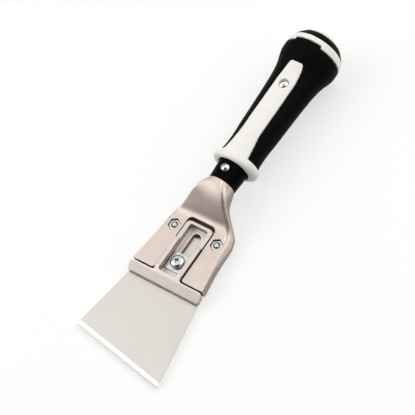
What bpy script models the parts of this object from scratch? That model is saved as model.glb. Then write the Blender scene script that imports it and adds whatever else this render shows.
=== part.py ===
"""Cranked scraper with a clamped, skewed blade: one object for each piece, at real size.

The tool lies on its back. X runs across it, Y along it towards the butt and Z up through its front
face. Z = 0 is the table, under the back plate and the knob, and X = 0 is the middle plane.
"""
from bisect import bisect
from collections import namedtuple
from math import atan2, cos, pi, sin, sqrt

import bmesh
import bpy
from mathutils import Matrix, Vector

MM = 0.001

# Clearance between neighbouring pieces
GAP = 0.3 * MM

# Heights through the head, from the table up
PLATE_THICK = 2.3 * MM
BLADE_BACK_Z = PLATE_THICK + GAP
BLADE_FRONT_Z = BLADE_BACK_Z + 1.3 * MM
SLIDE_BACK_Z = BLADE_FRONT_Z + GAP
SLIDE_FLOOR_Z = SLIDE_BACK_Z + 2.0 * MM
RAIL_LOW_Z = 10.8 * MM
RAIL_HIGH_Z = 12.1 * MM
CHEEK_Z = 10.45 * MM
AXIS_Z = 19.5 * MM

# Places along the tool, from the cutting edge to the butt
EDGE_LONG_Y = -131.55 * MM
EDGE_SHORT_Y = -120.25 * MM
BAR_Y = -72.85 * MM
BAR_TOP_Y = -65.85 * MM
CHEEK_Y = -64.95 * MM
SCREW_Y = -53.8 * MM
RAIL_STEP_Y = -39.85 * MM
NUT_Y = -32.45 * MM
STEM_TOP_Y = -25.15 * MM
WINDOW_TOP_Y = -22.65 * MM
NECK_Y = 2.25 * MM
RIVET_Y = 10.75 * MM
COLLAR_Y = 16.15 * MM
GRIP_LOW_Y = 22.85 * MM
STUB_TOP_Y = 25.15 * MM
PIN_Y = 81.3 * MM
STRIP_TOP_Y = 98.7 * MM
RING_Y = 112.75 * MM
RING_NOTCH_Y = 114.6 * MM
RING_TOP_Y = 118.55 * MM
CAP_TOP_Y = 123.4 * MM
BUTT_Y = 131.55 * MM

# Blade
EDGE_HALF = 36.3 * MM
SHOULDER_HALF = 26.3 * MM
SHOULDER_Y = BAR_TOP_Y + 0.2 * MM
TANG_HALF = 10.4 * MM
TANG_TOP_Y = -26.95 * MM
TANG_SLOT_HALF = 4.1 * MM
GRIND_WIDTH = 3.6 * MM
EDGE_THICK = 0.15 * MM

# Clamp slide, a T with a sunk stem
BAR_HALF = 28.6 * MM
BAR_CORNER_R = 2.7 * MM
BAR_FOOT_SLOPE = 1.2 * MM
RAMP_TOP_Y = -62.6 * MM
RAMP_LOW_Y = -66.9 * MM
RAMP_DROP = 2.1 * MM
BAR_FRONT_Z = 6.2 * MM
STEM_HALF = 10.3 * MM
STEM_CORNER_R = 3.2 * MM
STEM_FILLET_R = 1.2 * MM
RECESS_HALF = 7.0 * MM
RECESS_LOW_Y = -64.65 * MM
RECESS_TOP_Y = -27.25 * MM
RECESS_CORNER_R = 1.5 * MM
SLOT_HALF = 3.1 * MM
SLOT_TOP_Y = -30.05 * MM
WINDOW_HALF = 11.0 * MM
WINDOW_CORNER_R = 3.6 * MM

# Clamp screw, its square washer and its threaded bush
SCREW_HEAD_R = 5.0 * MM
SCREW_HEAD_HIGH = 3.0 * MM
SCREW_SHANK_R = 2.35 * MM
CROSS_LENGTH = 5.0 * MM
CROSS_WIDTH = 1.15 * MM
CROSS_DEPTH = 1.7 * MM
WASHER_SIDE = 13.2 * MM
WASHER_THICK = 1.0 * MM
WASHER_HOLE_R = 2.8 * MM
BUSH_R = 3.8 * MM
BUSH_FLANGE_R = 5.5 * MM
BUSH_FLANGE_THICK = 0.9 * MM

# Frame screws and hex nuts in the cheeks
NUT_X = 16.94 * MM
NUT_ACROSS = 7.0 * MM
NUT_THICK = 3.2 * MM
POCKET_ACROSS = 7.7 * MM
POCKET_FLOOR_Z = 6.35 * MM
FRAME_SCREW_R = 1.8 * MM
FRAME_HOLE_R = 2.1 * MM
FRAME_HEAD_R = 3.6 * MM
FRAME_HEAD_HIGH = 1.9 * MM

# Back plate and the rib on it that guides the blade
PLATE_LOW_HALF = 25.2 * MM
PLATE_LOW_Y = -72.05 * MM
PLATE_WAIST_HALF = 21.4 * MM
PLATE_WAIST_Y = -28.45 * MM
PLATE_TOP_HALF = 15.0 * MM
PLATE_TOP_Y = -19.85 * MM
PLATE_CORNER_R = 3.0 * MM
RIB_LOW_Y = -48.2 * MM
RIB_TOP_Y = -32.2 * MM
RIB_CORNER_R = 1.0 * MM

# Shank, sleeve and fixings of the handle
STUB_R = 6.0 * MM
SHANK_R = 5.0 * MM
SHANK_SPIGOT_R = 3.0 * MM
SHANK_SPIGOT_LONG = 9.7 * MM
SHANK_TOP_Y = 126.1 * MM
SLEEVE_LOW_R = 9.9 * MM
SLEEVE_TOP_R = 10.75 * MM
SLEEVE_TOP_Y = 24.15 * MM
RIVET_HEAD_R = 3.0 * MM
RIVET_HEAD_HIGH = 2.0 * MM
RIVET_SEAT = 9.9 * MM
RIVET_SHANK_R = 1.6 * MM
RIVET_WASHER_THICK = 0.7 * MM
PIN_HEAD_R = 3.2 * MM
PIN_HEAD_HIGH = 1.7 * MM
PIN_SEAT = 10.6 * MM
PIN_SHANK_R = 1.5 * MM
PIN_REACH = 7.0 * MM
STRIKE_SKIRT_R = 9.0 * MM
STRIKE_LOW_Y = 120.6 * MM
TANG_WASHER_R = 10.5 * MM
TANG_WASHER_THICK = 1.1 * MM

# Handle section
GRIP_WALL = 2.6 * MM
STRIP_HALF = 7.0 * MM
STRIP_TOP_HALF = 4.7 * MM
STRIP_FLARE_HALF = 10.2 * MM
NOTCH_HALF = 9.8 * MM
NOTCH_RISE = 15.0 * MM

# Facets
ROUND_STEPS = 28
OVAL_STEPS = 40
ARC_STEPS = 4

Oval = namedtuple("Oval", "y half_width front back")

# Outside of the handle from the collar to the butt: half width, front and back of the axis
HANDLE_FORM = [Oval(*(value * MM for value in row)) for row in (
    (17.55, 15.2, 13.2, 13.7), (22.85, 14.6, 12.7, 13.2), (27.15, 13.8, 12.3, 12.8),
    (33.15, 13.6, 12.1, 12.7), (47.15, 14.4, 12.0, 12.9), (70.55, 15.5, 12.0, 13.4),
    (85.95, 16.5, 12.2, 14.2), (94.25, 17.5, 13.0, 15.4), (99.15, 18.6, 14.2, 16.6),
    (103.65, 20.0, 16.2, 18.3), (108.15, 20.8, 17.9, 19.4), (112.75, 20.7, 18.6, 19.5),
    (115.65, 20.2, 18.9, 19.4), (118.55, 19.3, 18.6, 18.9), (121.15, 17.7, 17.3, 17.5),
    (124.15, 15.1, 14.9, 15.0), (127.2, 11.3, 11.3, 11.3))]

# Rounded flange of the collar, from its blade side to the grip
COLLAR_FORM = [Oval(*(value * MM for value in row)) for row in (
    (16.15, 12.3, 11.9, 11.9), (16.45, 14.5, 12.6, 12.8), (17.35, 16.3, 13.2, 13.6),
    (18.95, 17.1, 13.6, 14.2), (20.75, 16.9, 13.5, 14.1), (22.05, 16.0, 13.1, 13.6),
    (22.55, 15.2, 12.9, 13.3))]

# Outside of the strike cap, from its rim to its crown: place and radius
STRIKE_FORM = [(y * MM, radius * MM) for y, radius in (
    (123.7, 14.9), (124.0, 15.2), (124.7, 14.55), (125.7, 13.3), (127.2, 11.2), (128.6, 9.05),
    (129.9, 6.7), (130.9, 4.0), (131.55, 0.0))]

HeadKey = namedtuple("HeadKey", "y side_x side_z under_z boxy shoulder crest_x crest_z top_z")

# Sections of the cast head: widest point, underside, squareness below and above, ridge, front middle
HEAD_FORM = [HeadKey(*row) for row in (
    (-64.95, 28.0, 4.0, 2.6, 6.0, 0.7, 27.6, 10.45, 10.45),
    (-42.85, 25.6, 4.0, 2.6, 6.0, 0.7, 24.2, 10.45, 10.45),
    (-29.85, 25.3, 4.0, 2.6, 6.0, 0.7, 22.4, 10.45, 10.45),
    (-22.85, 23.5, 4.8, 2.6, 5.0, 0.7, 20.6, 10.75, 10.45),
    (-21.0, 22.3, 5.7, 2.8, 4.5, 0.72, 19.9, 11.5, 11.0),
    (-19.25, 20.9, 7.2, 3.2, 4.0, 0.75, 19.1, 13.1, 12.3),
    (-15.55, 17.8, 11.4, 4.8, 3.0, 0.8, 15.9, 18.5, 18.15),
    (-12.35, 15.2, 15.5, 6.4, 2.6, 0.85, 13.7, 23.1, 22.5),
    (-8.75, 13.1, 18.6, 8.0, 2.3, 0.88, 11.5, 26.6, 25.75),
    (-5.45, 12.2, 19.3, 8.6, 2.1, 0.88, 9.5, 28.1, 27.7),
    (-1.85, 11.2, 19.4, 9.1, 2.0, 0.8, 6.9, 28.5, 28.95),
    (2.25, 9.9, 19.5, 9.6, 2.0, 0.62, 5.4, 27.8, 29.4))]

Finish = namedtuple("Finish", "colour roughness metallic")
CAST_ALLOY = Finish((0.72, 0.64, 0.59), 0.42, 1.0)
SATIN_STEEL = Finish((0.74, 0.72, 0.70), 0.34, 1.0)
ZINC_PLATE = Finish((0.66, 0.69, 0.71), 0.26, 1.0)
NICKEL = Finish((0.72, 0.70, 0.67), 0.18, 1.0)
BLACK_NYLON = Finish((0.012, 0.013, 0.014), 0.38, 0.0)
SOFT_BLACK = Finish((0.015, 0.016, 0.016), 0.62, 0.0)
WHITE_PLASTIC = Finish((0.86, 0.85, 0.82), 0.40, 0.0)


# Scene and helpers

def clear_scene():
    for obj in list(bpy.data.objects):
        bpy.data.objects.remove(obj, do_unlink=True)
    for group in list(bpy.data.collections):
        bpy.data.collections.remove(group)


clear_scene()
PARTS = bpy.data.collections.new("scraper")
CUTTERS = bpy.data.collections.new("cutters")
bpy.context.scene.collection.children.link(PARTS)
bpy.context.scene.collection.children.link(CUTTERS)


def add_object(name, mesh):
    """An object for a mesh, kept with the cutters until finish() makes it a piece."""
    obj = bpy.data.objects.new(name, mesh)
    obj.hide_render = True
    obj.display_type = 'WIRE'
    CUTTERS.objects.link(obj)
    return obj


def finish(obj, name, look):
    """Makes an object a named piece with its own material."""
    obj.name = name
    obj.data.name = name
    obj.hide_render = False
    obj.display_type = 'TEXTURED'
    CUTTERS.objects.unlink(obj)
    PARTS.objects.link(obj)
    material = bpy.data.materials.new(name)
    material.use_nodes = True
    shader = material.node_tree.nodes["Principled BSDF"]
    shader.inputs["Base Color"].default_value = (*look.colour, 1.0)
    shader.inputs["Roughness"].default_value = look.roughness
    shader.inputs["Metallic"].default_value = look.metallic
    obj.data.materials.clear()
    obj.data.materials.append(material)
    return obj


def mesh_object(name, bm):
    bmesh.ops.recalc_face_normals(bm, faces=bm.faces)
    mesh = bpy.data.meshes.new(name)
    bm.to_mesh(mesh)
    bm.free()
    return add_object(name, mesh)


def boolean(obj, other, operation):
    modifier = obj.modifiers.new(operation.lower(), 'BOOLEAN')
    modifier.operation = operation
    modifier.solver = 'EXACT'
    modifier.object = other


def cut(obj, *cutters):
    for cutter in cutters:
        boolean(obj, cutter, 'DIFFERENCE')


def box(name, low, high):
    """A box between two corners."""
    low, high = Vector(low), Vector(high)
    bm = bmesh.new()
    bmesh.ops.create_cube(bm, size=1.0)
    bmesh.ops.scale(bm, vec=high - low, verts=bm.verts)
    bmesh.ops.translate(bm, vec=(low + high) / 2, verts=bm.verts)
    return mesh_object(name, bm)


def rod(name, radius, start, end, steps=ROUND_STEPS):
    """A cylinder between two points."""
    start, end = Vector(start), Vector(end)
    along = end - start
    turn = Vector((0, 0, 1)).rotation_difference(along).to_matrix().to_4x4()
    bm = bmesh.new()
    bmesh.ops.create_cone(bm, cap_ends=True, segments=steps, radius1=radius, radius2=radius,
                          depth=along.length, matrix=Matrix.Translation((start + end) / 2) @ turn)
    return mesh_object(name, bm)


def corner_arc(before, corner, after, radius):
    """Points of the rounding of one corner of an outline."""
    to_before = (before - corner).normalized()
    to_after = (after - corner).normalized()
    half = to_before.angle(to_after) / 2
    centre = corner + (to_before + to_after).normalized() * radius / sin(half)
    start = (corner + to_before * radius * cos(half) / sin(half) - centre).normalized()
    end = (corner + to_after * radius * cos(half) / sin(half) - centre).normalized()
    return [centre + radius * start.slerp(end, step / ARC_STEPS) for step in range(ARC_STEPS + 1)]


def rounded(corners):
    """Outline through (x, y, radius) corners, each rounded to its radius."""
    places = [Vector((x, y, 0)) for x, y, _ in corners]
    points = []
    for index, (_, _, radius) in enumerate(corners):
        if radius:
            after = places[(index + 1) % len(places)]
            points += corner_arc(places[index - 1], places[index], after, radius)
        else:
            points.append(places[index])
    return points


def plate(name, outline, low_z, high_z):
    """A flat piece: a filled 2D curve with thickness, made a welded mesh."""
    curve = bpy.data.curves.new(name, 'CURVE')
    curve.dimensions = '2D'
    curve.fill_mode = 'BOTH'
    curve.extrude = (high_z - low_z) / 2
    spline = curve.splines.new('POLY')
    spline.points.add(len(outline) - 1)
    for point, place in zip(spline.points, outline):
        point.co = (place.x, place.y, 0, 1)
    spline.use_cyclic_u = True
    holder = bpy.data.objects.new(name, curve)
    CUTTERS.objects.link(holder)
    mesh = bpy.data.meshes.new_from_object(holder.evaluated_get(bpy.context.evaluated_depsgraph_get()))
    bpy.data.objects.remove(holder)
    bm = bmesh.new()
    bm.from_mesh(mesh)
    bpy.data.meshes.remove(mesh)
    bmesh.ops.remove_doubles(bm, verts=bm.verts, dist=1e-6)
    bmesh.ops.translate(bm, vec=(0, 0, (low_z + high_z) / 2), verts=bm.verts)
    return mesh_object(name, bm)


def turned(name, profile, centre, along='Z', steps=ROUND_STEPS, ring=False):
    """A turned piece from (radius, height) points down its outer side; a ring closes on its bore."""
    mesh = bpy.data.meshes.new(name)
    points = [(radius, 0, height) for radius, height in profile]
    edges = [(index, index + 1) for index in range(len(points) - 1)]
    if ring:
        edges.append((len(points) - 1, 0))
    mesh.from_pydata(points, edges, [])
    obj = add_object(name, mesh)
    screw = obj.modifiers.new("turn", 'SCREW')
    screw.steps = steps
    screw.render_steps = steps
    screw.use_merge_vertices = True
    screw.merge_threshold = 1e-6
    obj.location = centre
    if along == 'Y':
        obj.rotation_euler = (-pi / 2, 0, 0)
    return obj


def loft(name, rings):
    """A closed body through rings of equal point count."""
    bm = bmesh.new()
    loops = [[bm.verts.new(point) for point in ring] for ring in rings]
    for lower, upper in zip(loops, loops[1:]):
        for index in range(len(lower)):
            bm.faces.new((lower[index - 1], lower[index], upper[index], upper[index - 1]))
    bm.faces.new(loops[0])
    bm.faces.new(loops[-1])
    return mesh_object(name, bm)


def smooth_through(knots, y):
    """Height at y of a smooth curve through (y, value) knots that never overshoots them."""
    places = [knot[0] for knot in knots]
    first = max(0, min(len(knots) - 2, bisect(places, y) - 1))

    def slope(index):
        if index in (0, len(knots) - 1):
            return rise(min(index, len(knots) - 2))
        before, after = rise(index - 1), rise(index)
        return 2 * before * after / (before + after) if before * after > 0 else 0.0

    def rise(index):
        (y0, v0), (y1, v1) = knots[index], knots[index + 1]
        return (v1 - v0) / (y1 - y0)

    (y0, v0), (y1, v1) = knots[first], knots[first + 1]
    span = y1 - y0
    t = (y - y0) / span
    return ((2 * t**3 - 3 * t**2 + 1) * v0 + (t**3 - 2 * t**2 + t) * span * slope(first)
            + (3 * t**2 - 2 * t**3) * v1 + (t**3 - t**2) * span * slope(first + 1))


def field_at(form, field, y):
    return smooth_through([(key.y, getattr(key, field)) for key in form], y)


def oval_ring(y, half_width, front, back):
    """Ring of the handle at y: an oval with its own depth in front of and behind the axis."""
    points = []
    for step in range(OVAL_STEPS):
        angle = 2 * pi * step / OVAL_STEPS
        depth = front if sin(angle) > 0 else back
        points.append(Vector((half_width * cos(angle), y, AXIS_Z + depth * sin(angle))))
    return points


def handle_ring(y, inset=0.0):
    """Ring of the handle's outside at y, drawn in by an inset."""
    sizes = [field_at(HANDLE_FORM, field, y) - inset for field in ("half_width", "front", "back")]
    return oval_ring(y, *sizes)


def spread(low, high, step):
    """Places from low to high, at most a step apart."""
    count = max(1, round((high - low) / step))
    return [low + (high - low) * index / count for index in range(count + 1)]


def handle_body(name, low_y, high_y, inset=0.0):
    return loft(name, [handle_ring(y, inset) for y in spread(low_y, high_y, 5.0 * MM)])


# Blade

def make_blade():
    outline = rounded([
        (-EDGE_HALF, EDGE_SHORT_Y, 0), (EDGE_HALF, EDGE_LONG_Y, 0),
        (SHOULDER_HALF, SHOULDER_Y, 0), (TANG_HALF, SHOULDER_Y, 0.8 * MM),
        (TANG_HALF, TANG_TOP_Y, 1.5 * MM), (TANG_SLOT_HALF, TANG_TOP_Y, 1.0 * MM),
        (TANG_SLOT_HALF, SCREW_Y - TANG_SLOT_HALF, TANG_SLOT_HALF * 0.98),
        (-TANG_SLOT_HALF, SCREW_Y - TANG_SLOT_HALF, TANG_SLOT_HALF * 0.98),
        (-TANG_SLOT_HALF, TANG_TOP_Y, 1.0 * MM), (-TANG_HALF, TANG_TOP_Y, 1.5 * MM),
        (-TANG_HALF, SHOULDER_Y, 0.8 * MM), (-SHOULDER_HALF, SHOULDER_Y, 0)])
    blade = plate("blade_blank", outline, BLADE_BACK_Z, BLADE_FRONT_Z)
    cut(blade, grinding_wedge())
    return finish(blade, "blade", SATIN_STEEL)


def grinding_wedge():
    """Box that grinds the front of the cutting edge down to its bevel."""
    drop = BLADE_FRONT_Z - BLADE_BACK_Z - EDGE_THICK
    slope = atan2(drop, GRIND_WIDTH)
    skew = atan2(EDGE_LONG_Y - EDGE_SHORT_Y, 2 * EDGE_HALF)
    size = 100 * MM
    wedge = box("grinding_wedge", (-size, -size / 2, 0), (size, size / 4, size / 4))
    edge_middle = Vector((0, (EDGE_LONG_Y + EDGE_SHORT_Y) / 2, BLADE_BACK_Z + EDGE_THICK))
    wedge.matrix_world = (Matrix.Translation(edge_middle) @ Matrix.Rotation(skew, 4, 'Z')
                          @ Matrix.Rotation(slope, 4, 'X'))
    return wedge


# Clamp slide

def make_clamp_slide():
    outline = rounded([
        (-BAR_HALF, BAR_Y, BAR_CORNER_R), (BAR_HALF, BAR_Y, BAR_CORNER_R),
        (BAR_HALF, BAR_TOP_Y, BAR_CORNER_R), (STEM_HALF, BAR_TOP_Y, STEM_FILLET_R),
        (STEM_HALF, STEM_TOP_Y, STEM_CORNER_R), (-STEM_HALF, STEM_TOP_Y, STEM_CORNER_R),
        (-STEM_HALF, BAR_TOP_Y, STEM_FILLET_R), (-BAR_HALF, BAR_TOP_Y, BAR_CORNER_R)])
    slide = plate("slide_blank", outline, SLIDE_BACK_Z, RAIL_HIGH_Z)
    recess = plate("recess", rounded([
        (-RECESS_HALF, RECESS_LOW_Y, RECESS_CORNER_R), (RECESS_HALF, RECESS_LOW_Y, RECESS_CORNER_R),
        (RECESS_HALF, RECESS_TOP_Y, RECESS_CORNER_R), (-RECESS_HALF, RECESS_TOP_Y, RECESS_CORNER_R)]),
        SLIDE_FLOOR_Z, RAIL_HIGH_Z + MM)
    end_r = SLOT_HALF * 0.98
    slot = plate("slot", rounded([
        (-SLOT_HALF, SCREW_Y - SLOT_HALF, end_r), (SLOT_HALF, SCREW_Y - SLOT_HALF, end_r),
        (SLOT_HALF, SLOT_TOP_Y, end_r), (-SLOT_HALF, SLOT_TOP_Y, end_r)]),
        SLIDE_BACK_Z - MM, SLIDE_FLOOR_Z + MM)
    step = box("rail_step", (-BAR_HALF, RAIL_STEP_Y, RAIL_LOW_Z),
               (BAR_HALF, STEM_TOP_Y + MM, RAIL_HIGH_Z + MM))
    foot = box("foot_slope", (-2 * BAR_HALF, -20 * MM, -10 * MM), (2 * BAR_HALF, 0, 20 * MM))
    lean = atan2(BAR_FOOT_SLOPE, RAIL_HIGH_Z - SLIDE_BACK_Z)
    foot.matrix_world = Matrix.Translation((0, BAR_Y, SLIDE_BACK_Z)) @ Matrix.Rotation(-lean, 4, 'X')
    ramp = box("bar_ramp", (-2 * BAR_HALF, -20 * MM, 0), (2 * BAR_HALF, 0, 20 * MM))
    fall = atan2(RAMP_DROP, RAMP_TOP_Y - RAMP_LOW_Y)
    ramp.matrix_world = Matrix.Translation((0, RAMP_TOP_Y, RAIL_HIGH_Z)) @ Matrix.Rotation(fall, 4, 'X')
    ramp_low_z = RAIL_HIGH_Z - RAMP_DROP
    face = box("bar_face", (-2 * BAR_HALF, -20 * MM, 0), (2 * BAR_HALF, 0, 20 * MM))
    steep = atan2(ramp_low_z - BAR_FRONT_Z, RAMP_LOW_Y - BAR_Y)
    face.matrix_world = Matrix.Translation((0, RAMP_LOW_Y, ramp_low_z)) @ Matrix.Rotation(steep, 4, 'X')
    cut(slide, recess, slot, step, foot, ramp, face)
    return finish(slide, "clamp_slide", CAST_ALLOY)


# Clamp screw, washer and bush

def make_clamp_screw():
    under_head = SLIDE_FLOOR_Z + WASHER_THICK + 2 * GAP
    dome = [(0, SCREW_HEAD_HIGH), (0.45 * SCREW_HEAD_R, 0.94 * SCREW_HEAD_HIGH),
            (0.78 * SCREW_HEAD_R, 0.76 * SCREW_HEAD_HIGH), (0.95 * SCREW_HEAD_R, 0.48 * SCREW_HEAD_HIGH),
            (SCREW_HEAD_R, 0.15 * SCREW_HEAD_HIGH), (SCREW_HEAD_R, 0)]
    tip = 2 * GAP - under_head
    shank = [(SCREW_SHANK_R, 0), (SCREW_SHANK_R, tip + 0.5 * MM), (SCREW_SHANK_R - 0.5 * MM, tip), (0, tip)]
    screw = turned("screw_blank", dome + shank, (0, SCREW_Y, under_head))
    top = under_head + SCREW_HEAD_HIGH
    for name, half_x, half_y in (("cross_bar_x", CROSS_LENGTH / 2, CROSS_WIDTH / 2),
                                 ("cross_bar_y", CROSS_WIDTH / 2, CROSS_LENGTH / 2)):
        cut(screw, box(name, (-half_x, SCREW_Y - half_y, top - CROSS_DEPTH),
                       (half_x, SCREW_Y + half_y, top + MM)))
    return finish(screw, "clamp_screw", ZINC_PLATE)


def make_square_washer():
    half = WASHER_SIDE / 2
    low = SLIDE_FLOOR_Z + GAP
    washer = plate("washer_blank", rounded([
        (-half, SCREW_Y - half, 0.6 * MM), (half, SCREW_Y - half, 0.6 * MM),
        (half, SCREW_Y + half, 0.6 * MM), (-half, SCREW_Y + half, 0.6 * MM)]), low, low + WASHER_THICK)
    cut(washer, rod("washer_hole", WASHER_HOLE_R, (0, SCREW_Y, 0), (0, SCREW_Y, 20 * MM)))
    return finish(washer, "square_washer", ZINC_PLATE)


def make_clamp_bush():
    top = BLADE_FRONT_Z - GAP
    low = GAP / 2
    bore = SCREW_SHANK_R + GAP
    shoulder = low + BUSH_FLANGE_THICK
    bush = turned("bush", [(BUSH_R, top), (BUSH_R, shoulder), (BUSH_FLANGE_R, shoulder),
                           (BUSH_FLANGE_R, low), (bore, low), (bore, top)], (0, SCREW_Y, 0), ring=True)
    return finish(bush, "clamp_bush", ZINC_PLATE)


# Cast head

def head_ring(y):
    """Section of the head at y, worked out on one side and mirrored."""
    key = {field: smooth_through([(form.y * MM, getattr(form, field)) for form in HEAD_FORM], y)
           for field in HeadKey._fields[1:]}
    side = Vector((key["side_x"], key["side_z"]))
    crest = Vector((key["crest_x"], key["crest_z"]))
    depth = key["side_z"] - key["under_z"]
    half = []
    for step in range(7):
        angle = pi / 2 * step / 7
        half.append(Vector((side.x * sin(angle) ** (2 / key["boxy"]),
                            side.y - depth * cos(angle) ** (2 / key["boxy"]))))
    half += bend(side, Vector((side.x, side.y + key["shoulder"] * (crest.y - side.y))), crest, 5)
    half += bend(crest, Vector((0.72 * crest.x, key["top_z"])), Vector((0, key["top_z"])), 6)
    half.append(Vector((0, key["top_z"])))
    ring = half + [Vector((-point.x, point.y)) for point in half[-2:0:-1]]
    return [Vector((point.x * MM, y, point.y * MM)) for point in ring]


def bend(start, corner, end, steps):
    """Points of a quadratic curve, without its end."""
    points = []
    for step in range(steps):
        t = step / steps
        points.append((1 - t)**2 * start + 2 * t * (1 - t) * corner + t**2 * end)
    return points


def make_head():
    places = spread(CHEEK_Y, -29.85 * MM, 12 * MM) + spread(-26.5 * MM, NECK_Y, 2.4 * MM)
    head = loft("head_blank", [head_ring(y) for y in places])
    stub = rod("stub", STUB_R, (0, NECK_Y - 2 * MM, AXIS_Z), (0, STUB_TOP_Y, AXIS_Z))
    boolean(head, stub, 'UNION')
    window = plate("window", rounded([
        (-WINDOW_HALF, CHEEK_Y - 5 * MM, 0), (WINDOW_HALF, CHEEK_Y - 5 * MM, 0),
        (WINDOW_HALF, WINDOW_TOP_Y, WINDOW_CORNER_R), (-WINDOW_HALF, WINDOW_TOP_Y, WINDOW_CORNER_R)]),
        -5 * MM, 40 * MM)
    bore = rod("stub_bore", SHANK_SPIGOT_R + GAP, (0, STUB_TOP_Y - SHANK_SPIGOT_LONG - GAP, AXIS_Z),
               (0, STUB_TOP_Y + MM, AXIS_Z), 20)
    cut(head, window, bore, rivet_hole("stub_rivet_hole"))
    for side in (-1, 1):
        pocket = hex_prism("pocket", POCKET_ACROSS, side * NUT_X, POCKET_FLOOR_Z, 20 * MM)
        hole = rod("frame_hole", FRAME_HOLE_R, (side * NUT_X, NUT_Y, -MM), (side * NUT_X, NUT_Y, 20 * MM), 16)
        cut(head, pocket, hole)
    return finish(head, "head_casting", CAST_ALLOY)


def rivet_hole(name):
    return rod(name, RIVET_SHANK_R + GAP, (0, RIVET_Y, 0), (0, RIVET_Y, 2 * AXIS_Z), 16)


def hex_prism(name, across, x, low_z, high_z):
    """A hexagon of a width across flats, with corners along Y."""
    radius = across / sqrt(3)
    corners = []
    for index in range(6):
        angle = pi / 2 + index * pi / 3
        corners.append(Vector((x + radius * cos(angle), NUT_Y + radius * sin(angle), 0)))
    return plate(name, corners, low_z, high_z)


# Back plate, frame screws and nuts

def make_back_plate():
    outline = rounded([
        (-PLATE_LOW_HALF, PLATE_LOW_Y, PLATE_CORNER_R), (PLATE_LOW_HALF, PLATE_LOW_Y, PLATE_CORNER_R),
        (PLATE_WAIST_HALF, PLATE_WAIST_Y, PLATE_CORNER_R), (PLATE_TOP_HALF, PLATE_TOP_Y, PLATE_CORNER_R),
        (-PLATE_TOP_HALF, PLATE_TOP_Y, PLATE_CORNER_R), (-PLATE_WAIST_HALF, PLATE_WAIST_Y, PLATE_CORNER_R)])
    backing = plate("plate_blank", outline, 0, PLATE_THICK)
    half = TANG_SLOT_HALF - GAP
    rib = plate("guide_rib", rounded([
        (-half, RIB_LOW_Y, RIB_CORNER_R), (half, RIB_LOW_Y, RIB_CORNER_R),
        (half, RIB_TOP_Y, RIB_CORNER_R), (-half, RIB_TOP_Y, RIB_CORNER_R)]),
        PLATE_THICK / 2, BLADE_FRONT_Z - GAP)
    boolean(backing, rib, 'UNION')
    above = PLATE_THICK + MM
    cut(backing, rod("bush_hole", BUSH_R + GAP, (0, SCREW_Y, -MM), (0, SCREW_Y, above)),
        rod("bush_seat", BUSH_FLANGE_R + GAP, (0, SCREW_Y, -MM),
            (0, SCREW_Y, BUSH_FLANGE_THICK + 1.5 * GAP)))
    for side in (-1, 1):
        sink = turned("countersink", frame_screw_profile(GAP, -MM, above), (side * NUT_X, NUT_Y, 0), steps=20)
        cut(backing, sink)
    return finish(backing, "back_plate", SATIN_STEEL)


def frame_screw_profile(extra, low, high):
    """Countersunk screw, head down: outer side from the tip to the head, with some extra all round."""
    neck = FRAME_HEAD_HIGH + extra
    return [(0, high), (FRAME_SCREW_R + extra, high), (FRAME_SCREW_R + extra, neck),
            (FRAME_HEAD_R + extra, GAP / 2 + extra), (FRAME_HEAD_R + extra, low), (0, low)]


def make_frame_fasteners():
    for label, side in (("left", -1), ("right", 1)):
        x = side * NUT_X
        screw = turned("frame_screw", frame_screw_profile(0.0, GAP / 4, CHEEK_Z - 0.4 * MM), (x, NUT_Y, 0),
                       steps=20)
        finish(screw, "frame_screw_" + label, ZINC_PLATE)
        low = POCKET_FLOOR_Z + GAP
        nut = hex_prism("nut_blank", NUT_ACROSS, x, low, low + NUT_THICK)
        cut(nut, rod("nut_hole", FRAME_HOLE_R, (x, NUT_Y, 0), (x, NUT_Y, 20 * MM), 20))
        finish(nut, "frame_nut_" + label, ZINC_PLATE)


# Shank, neck sleeve and their rivet

def make_shank():
    shoulder = STUB_TOP_Y + GAP
    spigot = shoulder - SHANK_SPIGOT_LONG
    shank = turned("shank_blank", [
        (0, SHANK_TOP_Y), (SHANK_R, SHANK_TOP_Y), (SHANK_R, shoulder), (SHANK_SPIGOT_R, shoulder),
        (SHANK_SPIGOT_R, spigot), (0, spigot)], (0, 0, AXIS_Z), along='Y')
    cut(shank, rod("shank_pin_hole", PIN_SHANK_R + GAP, (0, PIN_Y, 0), (0, PIN_Y, 2 * AXIS_Z), 16))
    return finish(shank, "shank", SATIN_STEEL)


def make_neck_sleeve():
    low, bore = NECK_Y + GAP, STUB_R + GAP
    sleeve = turned("sleeve_blank", [
        (SLEEVE_TOP_R, SLEEVE_TOP_Y), (SLEEVE_TOP_R, COLLAR_Y + MM), (SLEEVE_LOW_R, low),
        (bore, low), (bore, SLEEVE_TOP_Y)], (0, 0, AXIS_Z), along='Y', steps=40, ring=True)
    cut(sleeve, rivet_hole("sleeve_rivet_hole"))
    for name, way in (("front_seat", 1), ("back_seat", -1)):
        seat = rod(name, RIVET_HEAD_R + 2 * GAP, (0, RIVET_Y, AXIS_Z + way * RIVET_SEAT),
                   (0, RIVET_Y, AXIS_Z + way * 2 * RIVET_SEAT), 24)
        cut(sleeve, seat)
    return finish(sleeve, "neck_sleeve", BLACK_NYLON)


def dome_profile(radius, high):
    """Outer side of a domed head, from its crown to its rim."""
    angles = [step * pi / 8 for step in range(5)]
    return [(radius * sin(angle), high * cos(angle)) for angle in angles]


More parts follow.
